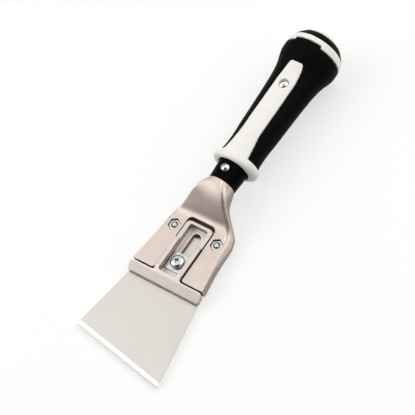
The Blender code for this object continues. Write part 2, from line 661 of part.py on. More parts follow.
def make_neck_rivet():
    seat = RIVET_SEAT + GAP
    tail = -RIVET_SEAT - RIVET_WASHER_THICK - 2 * GAP
    head = [(radius, seat + high) for radius, high in dome_profile(RIVET_HEAD_R, RIVET_HEAD_HIGH)]
    upset = [(radius, tail - high) for radius, high in reversed(dome_profile(0.8 * RIVET_HEAD_R, 1.2 * MM))]
    shank = [(RIVET_SHANK_R, seat), (RIVET_SHANK_R, tail)]
    rivet = turned("rivet", head + shank + upset, (0, RIVET_Y, AXIS_Z), steps=24)
    finish(rivet, "neck_rivet", NICKEL)
    top, low = -RIVET_SEAT - GAP, -RIVET_SEAT - GAP - RIVET_WASHER_THICK
    bore = RIVET_SHANK_R + GAP
    washer = turned("burr", [(RIVET_HEAD_R, top), (RIVET_HEAD_R, low), (bore, low), (bore, top)],
                    (0, RIVET_Y, AXIS_Z), steps=24, ring=True)
    finish(washer, "rivet_washer", NICKEL)


# Handle core and grip

def strip_outline(extra):
    """Front strip of the core in plan, wider where it runs into the collar, with some extra all round."""
    knots = ((COLLAR_Y + 3 * MM, STRIP_FLARE_HALF), (COLLAR_Y + 6.5 * MM, 0.92 * STRIP_FLARE_HALF),
             (COLLAR_Y + 13 * MM, 1.2 * STRIP_HALF), (COLLAR_Y + 27 * MM, STRIP_HALF),
             (PIN_Y, STRIP_HALF), (STRIP_TOP_Y - 4 * MM, 0.82 * STRIP_HALF), (STRIP_TOP_Y, STRIP_TOP_HALF))
    right = [(smooth_through(knots, y) + extra, y, 0) for y in spread(COLLAR_Y + 3 * MM, STRIP_TOP_Y, 5 * MM)]
    right[-1] = (STRIP_TOP_HALF + extra, STRIP_TOP_Y + extra, 1.5 * MM)
    left = [(-x, y, radius) for x, y, radius in reversed(right)]
    return rounded(right + left)


def make_handle_core():
    wall = GRIP_WALL
    rings = [oval_ring(*key) for key in COLLAR_FORM]
    rings += [handle_ring(y, wall) for y in [COLLAR_FORM[-1].y] + spread(GRIP_LOW_Y, RING_Y, 6 * MM)]
    rings += [handle_ring(y) for y in spread(RING_Y, RING_TOP_Y, 2.2 * MM)]
    core = loft("core_blank", rings)
    strip = plate("strip_blank", strip_outline(0.0), AXIS_Z, 2.5 * AXIS_Z)
    boolean(strip, handle_body("strip_form", HANDLE_FORM[0].y, RING_Y), 'INTERSECT')
    boolean(core, strip, 'UNION')
    cut(core, rod("sleeve_seat", SLEEVE_TOP_R + GAP, (0, 0, AXIS_Z), (0, SLEEVE_TOP_Y + GAP, AXIS_Z), 40),
        rod("stub_seat", STUB_R + GAP, (0, 0, AXIS_Z), (0, STUB_TOP_Y + 2 * GAP, AXIS_Z)),
        rod("shank_way", SHANK_R + GAP, (0, 0, AXIS_Z), (0, BUTT_Y, AXIS_Z)),
        box("ring_notch", (-NOTCH_HALF, RING_Y - MM, AXIS_Z + NOTCH_RISE),
            (NOTCH_HALF, RING_NOTCH_Y, 3 * AXIS_Z)),
        rod("core_pin_hole", PIN_SHANK_R + GAP, (0, PIN_Y, AXIS_Z - PIN_REACH - GAP),
            (0, PIN_Y, 3 * AXIS_Z), 16),
        rod("pin_seat", PIN_HEAD_R + GAP, (0, PIN_Y, AXIS_Z + PIN_SEAT), (0, PIN_Y, 3 * AXIS_Z), 24))
    return finish(core, "handle_core", WHITE_PLASTIC)


def make_grip():
    end = RING_NOTCH_Y - GAP
    grip = handle_body("grip_blank", GRIP_LOW_Y, end)
    hollow = handle_body("grip_hollow", GRIP_LOW_Y - 2 * MM, end + 2 * MM, GRIP_WALL - GAP)
    slot = plate("strip_slot", strip_outline(GAP), AXIS_Z, 2.5 * AXIS_Z)
    tab_half, tab_z, trim = NOTCH_HALF - GAP, AXIS_Z + NOTCH_RISE + GAP, RING_Y - GAP
    far = 40 * MM
    cut(grip, hollow, slot,
        box("trim_left", (-far, trim, -far), (-tab_half, far + RING_Y, far)),
        box("trim_right", (tab_half, trim, -far), (far, far + RING_Y, far)),
        box("trim_back", (-far, trim, -far), (far, far + RING_Y, tab_z)))
    return finish(grip, "grip", SOFT_BLACK)


def make_handle_pin():
    seat = PIN_SEAT + GAP
    head = [(radius, seat + high) for radius, high in dome_profile(PIN_HEAD_R, PIN_HEAD_HIGH)]
    pin = turned("pin", head + [(PIN_SHANK_R, seat), (PIN_SHANK_R, -PIN_REACH), (0, -PIN_REACH)],
                 (0, PIN_Y, AXIS_Z), steps=24)
    return finish(pin, "handle_pin", NICKEL)


# Butt: end cap, washer and strike cap

def make_butt():
    low = RING_TOP_Y + GAP
    end_cap = loft("cap_blank", [handle_ring(y, 0.15 * MM) for y in spread(low, CAP_TOP_Y, 1.5 * MM)])
    seat = low + TANG_WASHER_THICK + GAP
    cut(end_cap, rod("strike_way", STRIKE_SKIRT_R + GAP, (0, low - MM, AXIS_Z), (0, BUTT_Y, AXIS_Z)),
        rod("washer_seat", TANG_WASHER_R + GAP, (0, low - MM, AXIS_Z), (0, seat, AXIS_Z)))
    finish(end_cap, "end_cap", SOFT_BLACK)
    bore = SHANK_R + GAP
    washer = turned("washer", [(TANG_WASHER_R, seat - GAP), (TANG_WASHER_R, low), (bore, low),
                               (bore, seat - GAP)], (0, 0, AXIS_Z), along='Y', ring=True)
    finish(washer, "tang_washer", ZINC_PLATE)
    crown = [(radius, y) for y, radius in reversed(STRIKE_FORM)]
    rim, inside = STRIKE_FORM[0][0], SHANK_TOP_Y + GAP
    socket = [(STRIKE_SKIRT_R, rim), (STRIKE_SKIRT_R, STRIKE_LOW_Y), (bore, STRIKE_LOW_Y),
              (bore, inside), (0, inside)]
    strike = turned("strike", crown + socket, (0, 0, AXIS_Z), along='Y', steps=40)
    finish(strike, "strike_cap", NICKEL)


make_head()
make_back_plate()
make_frame_fasteners()
make_clamp_bush()
make_blade()
make_clamp_slide()
make_square_washer()
make_clamp_screw()
make_shank()
make_neck_sleeve()
make_neck_rivet()
make_handle_core()
make_grip()
make_handle_pin()
make_butt()
print("pieces:", ", ".join(sorted(obj.name for obj in PARTS.objects)))
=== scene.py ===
# %% [markdown]
# # A cranked scraper, finished for its portrait
#
# The construction of this tool already exists as plain solids: a cast head, a clamp that slides in it, a
# skewed blade and a black and white handle. This notebook loads those solids as a fixed frame and gives
# each piece its finished shape and surface. Nothing here moves or resizes the construction.

# %% Load the frame
from bisect import bisect
from math import atan2, cos, exp, pi, radians, sin, sqrt

import bmesh
import bpy
from mathutils import Matrix, Vector


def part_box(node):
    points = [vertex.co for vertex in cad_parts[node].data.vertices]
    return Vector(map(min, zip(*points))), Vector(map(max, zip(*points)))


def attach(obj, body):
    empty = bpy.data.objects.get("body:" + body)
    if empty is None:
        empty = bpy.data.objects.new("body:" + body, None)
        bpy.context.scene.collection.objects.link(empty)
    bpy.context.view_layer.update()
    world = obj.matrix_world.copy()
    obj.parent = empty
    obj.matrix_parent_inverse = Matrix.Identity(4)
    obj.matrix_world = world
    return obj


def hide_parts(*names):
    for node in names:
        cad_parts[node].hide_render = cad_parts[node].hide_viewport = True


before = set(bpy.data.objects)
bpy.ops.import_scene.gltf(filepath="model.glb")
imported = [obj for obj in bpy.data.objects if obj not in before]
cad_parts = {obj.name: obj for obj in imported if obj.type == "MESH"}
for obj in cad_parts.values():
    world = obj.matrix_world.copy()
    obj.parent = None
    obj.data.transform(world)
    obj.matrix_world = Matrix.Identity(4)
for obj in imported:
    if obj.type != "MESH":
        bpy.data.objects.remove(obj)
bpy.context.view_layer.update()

MM = 0.001

# %% [markdown]
# ## The camera
#
# The tool lies on its back and is seen from above its right side, with its handle running to the upper
# right of a square picture. A camera can be aimed with a Track To constraint, but that leaves no say
# over how the picture is turned, so its three axes are worked out here from two turns and a roll.

# %% Camera at the photograph's angle
PHOTO_PIXELS, FOCAL_PIXELS, SENSOR = 415, 1550, 36.0
LOOK_AT, CAMERA_DISTANCE, VIEW_END = Vector((0, -12.85 * MM, 13.9 * MM)), 1.0, 20.0
SIDE_TURN, TILT, ROLL = radians(28.13), radians(18.04), radians(35.27)
CENTRING = Vector((-2.02 * MM, 0.26 * MM))


def add_object(name, data):
    """An object made of some data, linked to the scene."""
    item = bpy.data.objects.new(name, data)
    bpy.context.scene.collection.objects.link(item)
    return item


def photo_camera():
    back = Vector((sin(SIDE_TURN) * cos(TILT), -sin(TILT), cos(SIDE_TURN) * cos(TILT)))
    level_right = Vector((cos(SIDE_TURN), 0, -sin(SIDE_TURN)))
    level_up = back.cross(level_right)
    right = cos(ROLL) * level_right + sin(ROLL) * level_up
    up = cos(ROLL) * level_up - sin(ROLL) * level_right
    place = LOOK_AT + CENTRING.x * right + CENTRING.y * up + CAMERA_DISTANCE * back
    lens = bpy.data.cameras.new("photo_camera")
    lens.sensor_width = SENSOR
    lens.lens = SENSOR * FOCAL_PIXELS / PHOTO_PIXELS
    lens.clip_end = VIEW_END
    camera = add_object("photo_camera", lens)
    camera.matrix_world = Matrix.Translation(place) @ Matrix((right, up, back)).transposed().to_4x4()
    bpy.context.scene.camera = camera
    return camera


print(f"camera with a {photo_camera().data.lens:.0f} mm lens, {CAMERA_DISTANCE} m from the tool")

# %% [markdown]
# ## Colours and nodes
#
# A colour picked from a screen is an sRGB value, while Blender's shaders add light in linear values, so
# one function turns the first into the second. Shader trees are built with one more function: it adds a
# node, fills in its settings, and plugs earlier nodes into it.

# %% Two helpers for materials
MIX_FACTOR, MIX_A, MIX_B, MIX_RESULT = 0, 6, 7, 2    # the colour sockets of a Mix node


def colour(hex_code):
    """Linear RGBA of an sRGB colour such as "c0ffee"."""
    levels = [int(hex_code[start:start + 2], 16) / 255 for start in (0, 2, 4)]
    return (*(v / 12.92 if v <= 0.04045 else ((v + 0.055) / 1.055) ** 2.4 for v in levels), 1.0)


def add_node(tree, kind, settings=None, links=None):
    """Adds a node: settings fill its inputs or properties, links plug output sockets into its inputs."""
    node = tree.nodes.new(kind)
    for key, value in (settings or {}).items():
        if isinstance(key, str) and hasattr(node, key):
            setattr(node, key, value)
    for key, value in (settings or {}).items():
        if not (isinstance(key, str) and hasattr(node, key)):
            node.inputs[key].default_value = value
    for key, socket in (links or {}).items():
        tree.links.new(socket, node.inputs[key])
    return node


print("colour helper:", [round(v, 3) for v in colour("808080")])

# %% [markdown]
# ## The stage and the light
#
# The photograph is a product picture on plain white. The small domed fixings show how it was lit,
# because each mirrors the same two bright patches: one soft box stands to the left and one to the right,
# so two area lamps stand there. The room around them is a pale world, dimmer near the floor, on the side
# that the blade points to, and in a small patch round the camera, because satin metal needs something
# dark to mirror. The floor adds a glow of its own for the rays that see it directly, which makes it
# white round the tool and leaves the soft shadow on it. Far out it turns grey, so that low views end
# quietly.

# %% White floor
FLOOR_HALF, FLOOR_DROP, WHITE_REACH, GREY_REACH = 4.0, 0.05 * MM, 0.7, 2.2
FLOOR_WHITE, FLOOR_SEEN, FLOOR_FAR, FLOOR_GLOW = "e6e6e4", "a4a4a3", "909090", 0.62


def studio_paper():
    """Matt paper that glows for the rays that see it, and turns grey far from the tool."""
    paper = bpy.data.materials.new("studio paper, matt")
    paper.use_nodes = True
    tree = paper.node_tree
    shader = tree.nodes["Principled BSDF"]
    for socket, value in (("Roughness", 0.9), ("Specular IOR Level", 0.1), ("Emission Color", (1, 1, 1, 1))):
        shader.inputs[socket].default_value = value
    place = add_node(tree, 'ShaderNodeTexCoord').outputs["Object"]
    away = add_node(tree, 'ShaderNodeVectorMath', {"operation": 'LENGTH'}, {0: place})
    near = add_node(tree, 'ShaderNodeMapRange', {
        "interpolation_type": 'SMOOTHSTEP', "From Min": WHITE_REACH, "From Max": GREY_REACH,
        "To Min": 1.0, "To Max": 0.0}, {"Value": away.outputs["Value"]}).outputs[0]
    rays = add_node(tree, 'ShaderNodeLightPath').outputs
    seen = rays["Is Camera Ray"]
    for kind in ("Is Glossy Ray", "Is Transmission Ray"):
        seen = add_node(tree, 'ShaderNodeMath', {"operation": 'MAXIMUM'}, {0: seen, 1: rays[kind]}).outputs[0]
    paint = add_node(tree, 'ShaderNodeMix', {
        "data_type": 'RGBA', MIX_A: colour(FLOOR_WHITE), MIX_B: colour(FLOOR_SEEN)}, {MIX_FACTOR: seen})
    fade = add_node(tree, 'ShaderNodeMix', {"data_type": 'RGBA', MIX_A: colour(FLOOR_FAR)},
                    {MIX_FACTOR: near, MIX_B: paint.outputs[MIX_RESULT]})
    tree.links.new(fade.outputs[MIX_RESULT], shader.inputs["Base Color"])
    lit = add_node(tree, 'ShaderNodeMath', {"operation": 'MULTIPLY'}, {0: seen, 1: near})
    glow = add_node(tree, 'ShaderNodeMath', {"operation": 'MULTIPLY', 1: FLOOR_GLOW}, {0: lit.outputs[0]})
    tree.links.new(glow.outputs[0], shader.inputs["Emission Strength"])
    return paper


def white_floor():
    mesh = bpy.data.meshes.new("floor")
    sides = ((-1, -1), (1, -1), (1, 1), (-1, 1))
    mesh.from_pydata([(x * FLOOR_HALF, y * FLOOR_HALF, -FLOOR_DROP) for x, y in sides], [], [(0, 1, 2, 3)])
    mesh.materials.append(studio_paper())
    floor = add_object("floor", mesh)
    return floor


print("floor:", round(white_floor().dimensions.x, 1), "m wide")

# %% Pale world and two soft boxes
WORLD_TINT, WORLD_LEVEL, LOW_SHARE, BRIGHT_RISE = "fdfcfa", 1.04, 0.2, 0.75
# Each dim part of the room: the way to it, how nearly that way it starts and is full, its share of light.
BLADE_SIDE = (Vector((0.25, -0.93, 0.25)), 0.35, 0.9, 0.25)
CAMERA_SIDE = (Vector((0.35, -0.54, 0.77)), 0.84, 0.95, 0.08)
LEFT_WAY, RIGHT_WAY = Vector((-0.66, -0.38, 0.65)), Vector((0.42, 0.55, 0.72))
BOX_SIZE, BOX_DISTANCE, BOX_POWER = 0.8, 1.2, 3.9


def pale_world():
    world = bpy.data.worlds.new("pale studio")
    world.use_nodes = True
    tree = world.node_tree
    way = add_node(tree, 'ShaderNodeTexCoord').outputs["Generated"]
    rise = add_node(tree, 'ShaderNodeSeparateXYZ', None, {0: way}).outputs["Z"]
    level = add_node(tree, 'ShaderNodeMapRange', {
        "interpolation_type": 'SMOOTHSTEP', "From Min": 0.0, "From Max": BRIGHT_RISE,
        "To Min": LOW_SHARE * WORLD_LEVEL, "To Max": WORLD_LEVEL}, {"Value": rise}).outputs[0]
    for side, start, full, share in (BLADE_SIDE, CAMERA_SIDE):
        facing = add_node(tree, 'ShaderNodeVectorMath', {"operation": 'DOT_PRODUCT', 1: side.normalized()},
                          {0: way})
        dim = add_node(tree, 'ShaderNodeMapRange', {
            "interpolation_type": 'SMOOTHSTEP', "From Min": start, "From Max": full,
            "To Min": 1.0, "To Max": share}, {"Value": facing.outputs["Value"]})
        level = add_node(tree, 'ShaderNodeMath', {"operation": 'MULTIPLY'},
                         {0: level, 1: dim.outputs[0]}).outputs[0]
    background = tree.nodes["Background"]
    background.inputs["Color"].default_value = colour(WORLD_TINT)
    tree.links.new(level, background.inputs["Strength"])
    bpy.context.scene.world = world


def soft_box(name, way):
    light = bpy.data.lights.new(name, 'AREA')
    light.shape = 'SQUARE'
    light.size = BOX_SIZE
    light.energy = BOX_POWER
    lamp = add_object(name, light)
    lamp.location = BOX_DISTANCE * way.normalized()
    lamp.rotation_euler = way.to_track_quat('Z', 'Y').to_euler()


pale_world()
soft_box("left_soft_box", LEFT_WAY)
soft_box("right_soft_box", RIGHT_WAY)
bpy.context.scene.view_settings.view_transform = 'Standard'
print(f"two soft boxes of {BOX_SIZE} m, {BOX_DISTANCE} m away")

# %% [markdown]
# ## What the finishes share
#
# No real surface is one flat colour. Most finishes below start from a tone that wanders in soft clouds
# between two near colours, and all of them end with a gloss that wanders and a fine relief. Clouds and
# grain are Noise Textures on Object coordinates, so they stay on a piece that moves, and the scale of
# each is one over a real size in metres. Seams get painted shade: their colour is darkened where shadow
# falls in narrow gaps. They could be painted by hand, but an Ambient Occlusion node finds every place
# that other surfaces stand close to.

# %% Start, painted seam shade and end of a finish
NOISE_LOW, NOISE_HIGH = 0.3, 0.7    # most values of a Noise Texture lie between these


def new_material(name):
    """A material with its tree and the place on the piece that its patterns follow."""
    material = bpy.data.materials.new(name)
    material.use_nodes = True
    tree = material.node_tree
    return material, tree, add_node(tree, 'ShaderNodeTexCoord').outputs["Object"]


def clouded(name, pale, dark, cloud_size, grain_size, **cloud_look):
    """A material with its tree, a tone that wanders in clouds, and the values of the clouds and a grain."""
    material, tree, place = new_material(name)
    clouds, grain = (
        add_node(tree, 'ShaderNodeTexNoise', {"Scale": 1 / size, **look}, {"Vector": place}).outputs[0]
        for size, look in ((cloud_size, cloud_look), (grain_size, {"Detail": 2.0})))
    tone = add_node(tree, 'ShaderNodeMix', {
        "data_type": 'RGBA', MIX_A: colour(dark), MIX_B: colour(pale)}, {MIX_FACTOR: clouds})
    return material, tree, tone.outputs[MIX_RESULT], clouds, grain


def painted_seam_shade(tree, tone, dark, reach, shut=0.22, clear=0.58):
    """A tone with painted shade, which goes dark where other surfaces stand within a reach."""
    openness = add_node(tree, 'ShaderNodeAmbientOcclusion', {"samples": 8, "Distance": reach})
    unshaded = add_node(tree, 'ShaderNodeMapRange', {"From Min": shut, "From Max": clear},
                     {"Value": openness.outputs["AO"]})
    return add_node(tree, 'ShaderNodeMix', {"data_type": 'RGBA', MIX_A: colour(dark)},
                    {MIX_FACTOR: unshaded.outputs[0], MIX_B: tone}).outputs[MIX_RESULT]


def surface(tree, metallic, tone, gloss_from, gloss, relief, strength, depth):
    """Plugs a tone, a gloss between two values and a relief of some depth into the tree's shader."""
    shader = tree.nodes["Principled BSDF"]
    shader.inputs["Metallic"].default_value = metallic
    wander = add_node(tree, 'ShaderNodeMapRange', {
        "From Min": NOISE_LOW, "From Max": NOISE_HIGH, "To Min": gloss[0], "To Max": gloss[1]},
        {"Value": gloss_from})
    bump = add_node(tree, 'ShaderNodeBump', {"Strength": strength, "Distance": depth}, {"Height": relief})
    plugs = {"Base Color": tone, "Roughness": wander.outputs[0], "Normal": bump.outputs[0]}
    for socket, value in plugs.items():
        tree.links.new(value, shader.inputs[socket])
    return shader


print("a 0.4 mm grain has a scale of", round(1 / (0.4 * MM)))

# %% [markdown]
# ## Tumbled die casting
#
# The head and its clamp are zinc alloy, cast in a die and tumbled with abrasive stones. That gives the
# eye a pale, slightly pink satin metal with no direction in its grain. Walls are painted darker than the
# faces that look up, as shade, and convex edges are painted brightest, partly as the wear of tumbling
# and partly as a painted highlight. The height of the normal tells faces from walls, and Pointiness is
# high wherever a mesh is convex. The grit leaves marks of about 0.1 mm, which would vanish at this
# distance, so they are drawn four times as coarse. The clamp is a little greyer.

# %% Die-cast alloy
CASTING_CLOUDS, TUMBLING_GRIT = 9 * MM, 0.4 * MM
# Walls are painted darker as shade, convex edges bright as wear and a painted highlight, seams as painted
# shade.
WALL_RISE, FACE_RISE = 0.12, 0.42
FLAT_POINT, EDGE_POINT = 0.52, 0.64
EDGE_WEAR_HIGHLIGHT, CASTING_SEAM_SHADE = "e8dfd8", "1c1713"


def tumbled_die_casting(name, pale, dark, wall_shade, shade_reach):
    material, tree, tone, _, grit = clouded(name, pale, dark, CASTING_CLOUDS, TUMBLING_GRIT,
                                            Detail=4.0, Roughness=0.6)
    shape = add_node(tree, 'ShaderNodeNewGeometry').outputs
    # Walls, whose normals lie low, are painted darker as shade.
    rise = add_node(tree, 'ShaderNodeSeparateXYZ', None, {0: shape["Normal"]}).outputs["Z"]
    faced = add_node(tree, 'ShaderNodeMapRange', {"From Min": WALL_RISE, "From Max": FACE_RISE},
                     {"Value": rise})
    wall_shaded = add_node(tree, 'ShaderNodeMix', {"data_type": 'RGBA', MIX_A: colour(wall_shade)},
                       {MIX_FACTOR: faced.outputs[0], MIX_B: tone})
    # Convex edges are painted bright, partly as tumbling wear and partly as a painted highlight.
    edge_wear_and_highlight = add_node(tree, 'ShaderNodeMapRange', {"From Min": FLAT_POINT, "From Max": EDGE_POINT},
                      {"Value": shape["Pointiness"]})
    worn_and_highlit = add_node(tree, 'ShaderNodeMix', {"data_type": 'RGBA', MIX_B: colour(EDGE_WEAR_HIGHLIGHT)},
                    {MIX_FACTOR: edge_wear_and_highlight.outputs[0], MIX_A: wall_shaded.outputs[MIX_RESULT]})
    # Seams get painted shade.
    tone = painted_seam_shade(tree, worn_and_highlit.outputs[MIX_RESULT], CASTING_SEAM_SHADE, shade_reach)
    surface(tree, 1.0, tone, grit, (0.47, 0.57), grit, 0.12, 0.05 * MM)
    return material


# The third colour of each casting is the painted shade of its walls.
HEAD_CASTING = tumbled_die_casting("zinc alloy, die cast and tumbled", "e6d9d1", "d3c5bc", "9e948c", 1.4 * MM)
CLAMP_CASTING = tumbled_die_casting("zinc alloy, die cast and tumbled grey", "e6ded9", "d5cbc6", "b0a49a",
                                    1.0 * MM)
print("materials:", HEAD_CASTING.name, "and", CLAMP_CASTING.name)

# %% [markdown]
# ## Ground stainless steel
#
# The blade is stainless strip, rolled and finely ground along its length, which leaves faint straight
# lines and a pale grey sheen. Its edge is ground once more in two facets, whose colours are painted: the
# first is painted bright, partly for its polish and partly as a painted highlight, and the narrow one at
# the very edge is painted a little greyer as shade. Real grinding lines are some 0.05 mm apart, so they
# are drawn at 0.35 mm. The facets are found from the distance to the edge, along a turned copy of the
# coordinates.

# %% Blade steel and plain plate steel
blade_low, blade_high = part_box("blade")
EDGE_SHORT_Y = -120.25 * MM
EDGE_SKEW = atan2(blade_low.y - EDGE_SHORT_Y, blade_high.x - blade_low.x)
EDGE_MIDDLE = Vector((0, (blade_low.y + EDGE_SHORT_Y) / 2, 0))
GRIND_WIDTH, EDGE_STRIP, FACET_BLUR = 3.6 * MM, 1.5 * MM, 0.1 * MM
LINE_APART, LINE_LONG, STEEL_CLOUDS = 0.35 * MM, 60 * MM, 25 * MM
# Seams on the steel are painted darker as shade, within the reach given here.
STEEL_SEAM_SHADE, STEEL_SHADE_REACH, STEEL_SHUT, STEEL_CLEAR = "1a1816", 1.5 * MM, 0.40, 0.74


def facet_polish_and_light(tree, place, tone):
    """A tone that changes at the start of each facet of the cutting edge: painted light and shade."""
    skewed = add_node(tree, 'ShaderNodeMapping', {
        "vector_type": 'TEXTURE', "Location": EDGE_MIDDLE, "Rotation": (0, 0, EDGE_SKEW)}, {"Vector": place})
    reach = add_node(tree, 'ShaderNodeSeparateXYZ', None, {0: skewed.outputs[0]}).outputs["Y"]
    # The first facet gets a painted highlight on its polish, the edge strip painted shade.
    for start, tint in ((GRIND_WIDTH, "fbfaf6"), (EDGE_STRIP, "bebdbb")):
        ground = add_node(tree, 'ShaderNodeMapRange', {
            "From Min": start + FACET_BLUR, "From Max": start - FACET_BLUR}, {"Value": reach})
        tone = add_node(tree, 'ShaderNodeMix', {"data_type": 'RGBA', MIX_B: colour(tint)},
                        {MIX_FACTOR: ground.outputs[0], MIX_A: tone}).outputs[MIX_RESULT]
    return tone


def ground_steel(name, pale, dark, edged):
    material, tree, place = new_material(name)
    along = add_node(tree, 'ShaderNodeMapping', {"Scale": (1 / LINE_APART, 1 / LINE_LONG, 1 / LINE_APART)},
                     {"Vector": place})
    lines = add_node(tree, 'ShaderNodeTexNoise', {"Scale": 1.0, "Detail": 4.0, "Roughness": 0.65},
                     {"Vector": along.outputs[0]}).outputs[0]
    clouds = add_node(tree, 'ShaderNodeTexNoise', {"Scale": 1 / STEEL_CLOUDS, "Detail": 2.0},
                      {"Vector": place})
    half = add_node(tree, 'ShaderNodeMath', {"operation": 'MULTIPLY', 1: 0.5}, {0: clouds.outputs[0]})
    both = add_node(tree, 'ShaderNodeMath', {"operation": 'MULTIPLY_ADD', 1: 0.5},
                    {0: lines, 2: half.outputs[0]})
    tone = add_node(tree, 'ShaderNodeMix', {
        "data_type": 'RGBA', MIX_A: colour(dark), MIX_B: colour(pale)}, {MIX_FACTOR: both.outputs[0]})
    tone = tone.outputs[MIX_RESULT]
    if edged:
        tone = facet_polish_and_light(tree, place, tone)
    tone = painted_seam_shade(tree, tone, STEEL_SEAM_SHADE, STEEL_SHADE_REACH, STEEL_SHUT, STEEL_CLEAR)
    surface(tree, 1.0, tone, lines, (0.40, 0.50), lines, 0.06, 0.03 * MM)
    return material


BLADE_STEEL = ground_steel("stainless strip, finely ground", "dad6d1", "d2cec9", True)
PLATE_STEEL = ground_steel("mild steel plate, rolled and ground", "e4e1dc", "d8d5d0", False)
print("materials:", BLADE_STEEL.name, "and", PLATE_STEEL.name)

# %% [markdown]
# ## Plated metal
#
# Screws, nuts and washers are steel with bright zinc plating: a cool, bluish silver that is a little
# cloudy. The rivet, the pin and the cap at the butt are polished nickel, warmer and sharper in its
# reflections. Both get their clouds and small handling marks from two noises of different size, about 3
# mm and 0.3 mm.

# %% Zinc and nickel plating
PLATING_CLOUDS, HANDLING_MARKS = 3 * MM, 0.3 * MM
# Seams on plated parts are painted darker as shade.
PLATING_SEAM_SHADE, PLATING_SHADE_REACH = "161514", 1.6 * MM


def plated(name, pale, dark, gloss):
    material, tree, tone, clouds, marks = clouded(name, pale, dark, PLATING_CLOUDS, HANDLING_MARKS,
                                                  Detail=3.0)
    tone = painted_seam_shade(tree, tone, PLATING_SEAM_SHADE, PLATING_SHADE_REACH)
    surface(tree, 1.0, tone, clouds, gloss, marks, 0.05, 0.03 * MM)
    return material


ZINC = plated("steel, bright zinc plated", "e3e5e6", "cfd2d4", (0.12, 0.22))
NICKEL = plated("steel, polished nickel plate", "e2dcd4", "d2cbc2", (0.08, 0.16))
print("materials:", ZINC.name, "and", NICKEL.name)

# %% [markdown]
# ## Plastics and rubber
#
# Three mouldings make the handle. The core is white ABS from a fine-grained mould, so it is smooth with
# a soft gloss. The grip is black thermoplastic rubber, soft and matt. The neck sleeve is black nylon,
# harder and glossier. They share one recipe: a base tone with faint clouds, a mould grain as bump and a
# gloss that wanders a little. Real mould grain is near 0.1 mm, so it is drawn at 0.5 mm to show at all.

# %% Moulded plastics
MOULDED_CLOUDS, MOULD_GRAIN = 20 * MM, 0.5 * MM


def moulded(name, pale, dark, gloss, grain, shine):
    material, tree, tone, _, pits = clouded(name, pale, dark, MOULDED_CLOUDS, MOULD_GRAIN, Detail=2.0)
    shader = surface(tree, 0.0, tone, pits, gloss, pits, grain, 0.05 * MM)
    shader.inputs["Specular IOR Level"].default_value = shine
    return material


WHITE_ABS = moulded("white ABS, injection moulded", "f5f3ee", "f1eee8", (0.34, 0.44), 0.06, 0.4)
SOFT_RUBBER = moulded("black thermoplastic rubber, moulded matt", "0a0d0c", "070909", (0.46, 0.58),
                      0.12, 0.03)
NYLON = moulded("black nylon, injection moulded", "060a08", "040605", (0.30, 0.38), 0.05, 0.02)
print("materials:", WHITE_ABS.name, SOFT_RUBBER.name, NYLON.name, sep="; ")

# %% [markdown]
# ## Skins, plates and cuts
#
# Most pieces start in one of two ways. A skin joins rings of equal point count, for turned shapes and
# for lofts whose section changes. A plate is an outline with rounded corners, filled and given
# thickness. Holes and pockets are then cut with Boolean modifiers. What the modifiers show is turned
# into a plain mesh at once, so that every finished piece is an ordinary mesh that sits at the origin.

# %% Skins and turned bodies
SAME_PLACE, LEAST_R = 0.001 * MM, 0.02 * MM


def add_piece(name, bm):
    """A mesh object of a finished bmesh, with doubles merged and faces turned outwards."""
    bmesh.ops.remove_doubles(bm, verts=bm.verts, dist=SAME_PLACE)
    bmesh.ops.recalc_face_normals(bm, faces=bm.faces)
    mesh = bpy.data.meshes.new(name)
    bm.to_mesh(mesh)
    bm.free()
    return add_object(name, mesh)


def skin(name, rings, looped=False):
    """A body through rings of points: capped at its ends, or looped from the last ring to the first."""
    bm = bmesh.new()
    loops = [[bm.verts.new(point) for point in ring] for ring in rings]
    for lower, upper in zip(loops, loops[1:] + loops[:1] if looped else loops[1:]):
        for index in range(len(lower)):
            bm.faces.new((lower[index - 1], lower[index], upper[index], upper[index - 1]))
    if not looped:
        bm.faces.new(loops[0])
        bm.faces.new(loops[-1])
    return add_piece(name, bm)


def circle(radius, centre, along, steps=72):
    """Points of a circle about a centre, in the plane that 'Z' or 'Y' stands on."""
    points = []
    for step in range(steps):
        angle = 2 * pi * step / steps
        across, rise = radius * cos(angle), radius * sin(angle)
        points.append(centre + Vector((across, rise, 0) if along == 'Z' else (across, 0, rise)))
    return points


def turned(name, profile, centre, along='Z', steps=72, looped=False):
    """A turned body from (radius, height) points, about an axis through a centre."""
    axis = Vector((0, 0, 1)) if along == 'Z' else Vector((0, 1, 0))
    rings = [circle(max(radius, LEAST_R), centre + height * axis, along, steps)
             for radius, height in profile]
    return skin(name, rings, looped)


print("a circle has", len(circle(MM, Vector(), 'Z')), "points")

# %% Outlines and plates
ARC_STEPS = 10


def rounded(corners):
    """Outline through (x, y, radius) corners, each rounded to its radius."""
    places = [Vector((x, y)) for x, y, _ in corners]
    points = []
    for index, (_, _, radius) in enumerate(corners):
        corner = places[index]
        before = (places[index - 1] - corner).normalized()
        after = (places[(index + 1) % len(places)] - corner).normalized()
        half = before.angle(after) / 2
        if not radius or half > 0.499 * pi:
            points.append(corner)
            continue
        centre = corner + (before + after).normalized() * radius / sin(half)
        start = corner + before * radius * cos(half) / sin(half) - centre
        sweep = start.angle_signed(corner + after * radius * cos(half) / sin(half) - centre)
        for step in range(ARC_STEPS + 1):
            points.append(centre + Matrix.Rotation(-sweep * step / ARC_STEPS, 2) @ start)
    return points


def both_sides(right):
    """Corners of the right side, followed by their mirror images back down the left."""
    return right + [(-x, y, radius) for x, y, radius in reversed(right)]


def slot_outline(half, low_y, high_y, radius):
    corners = ((-half, low_y), (half, low_y), (half, high_y), (-half, high_y))
    return rounded([(x, y, radius) for x, y in corners])


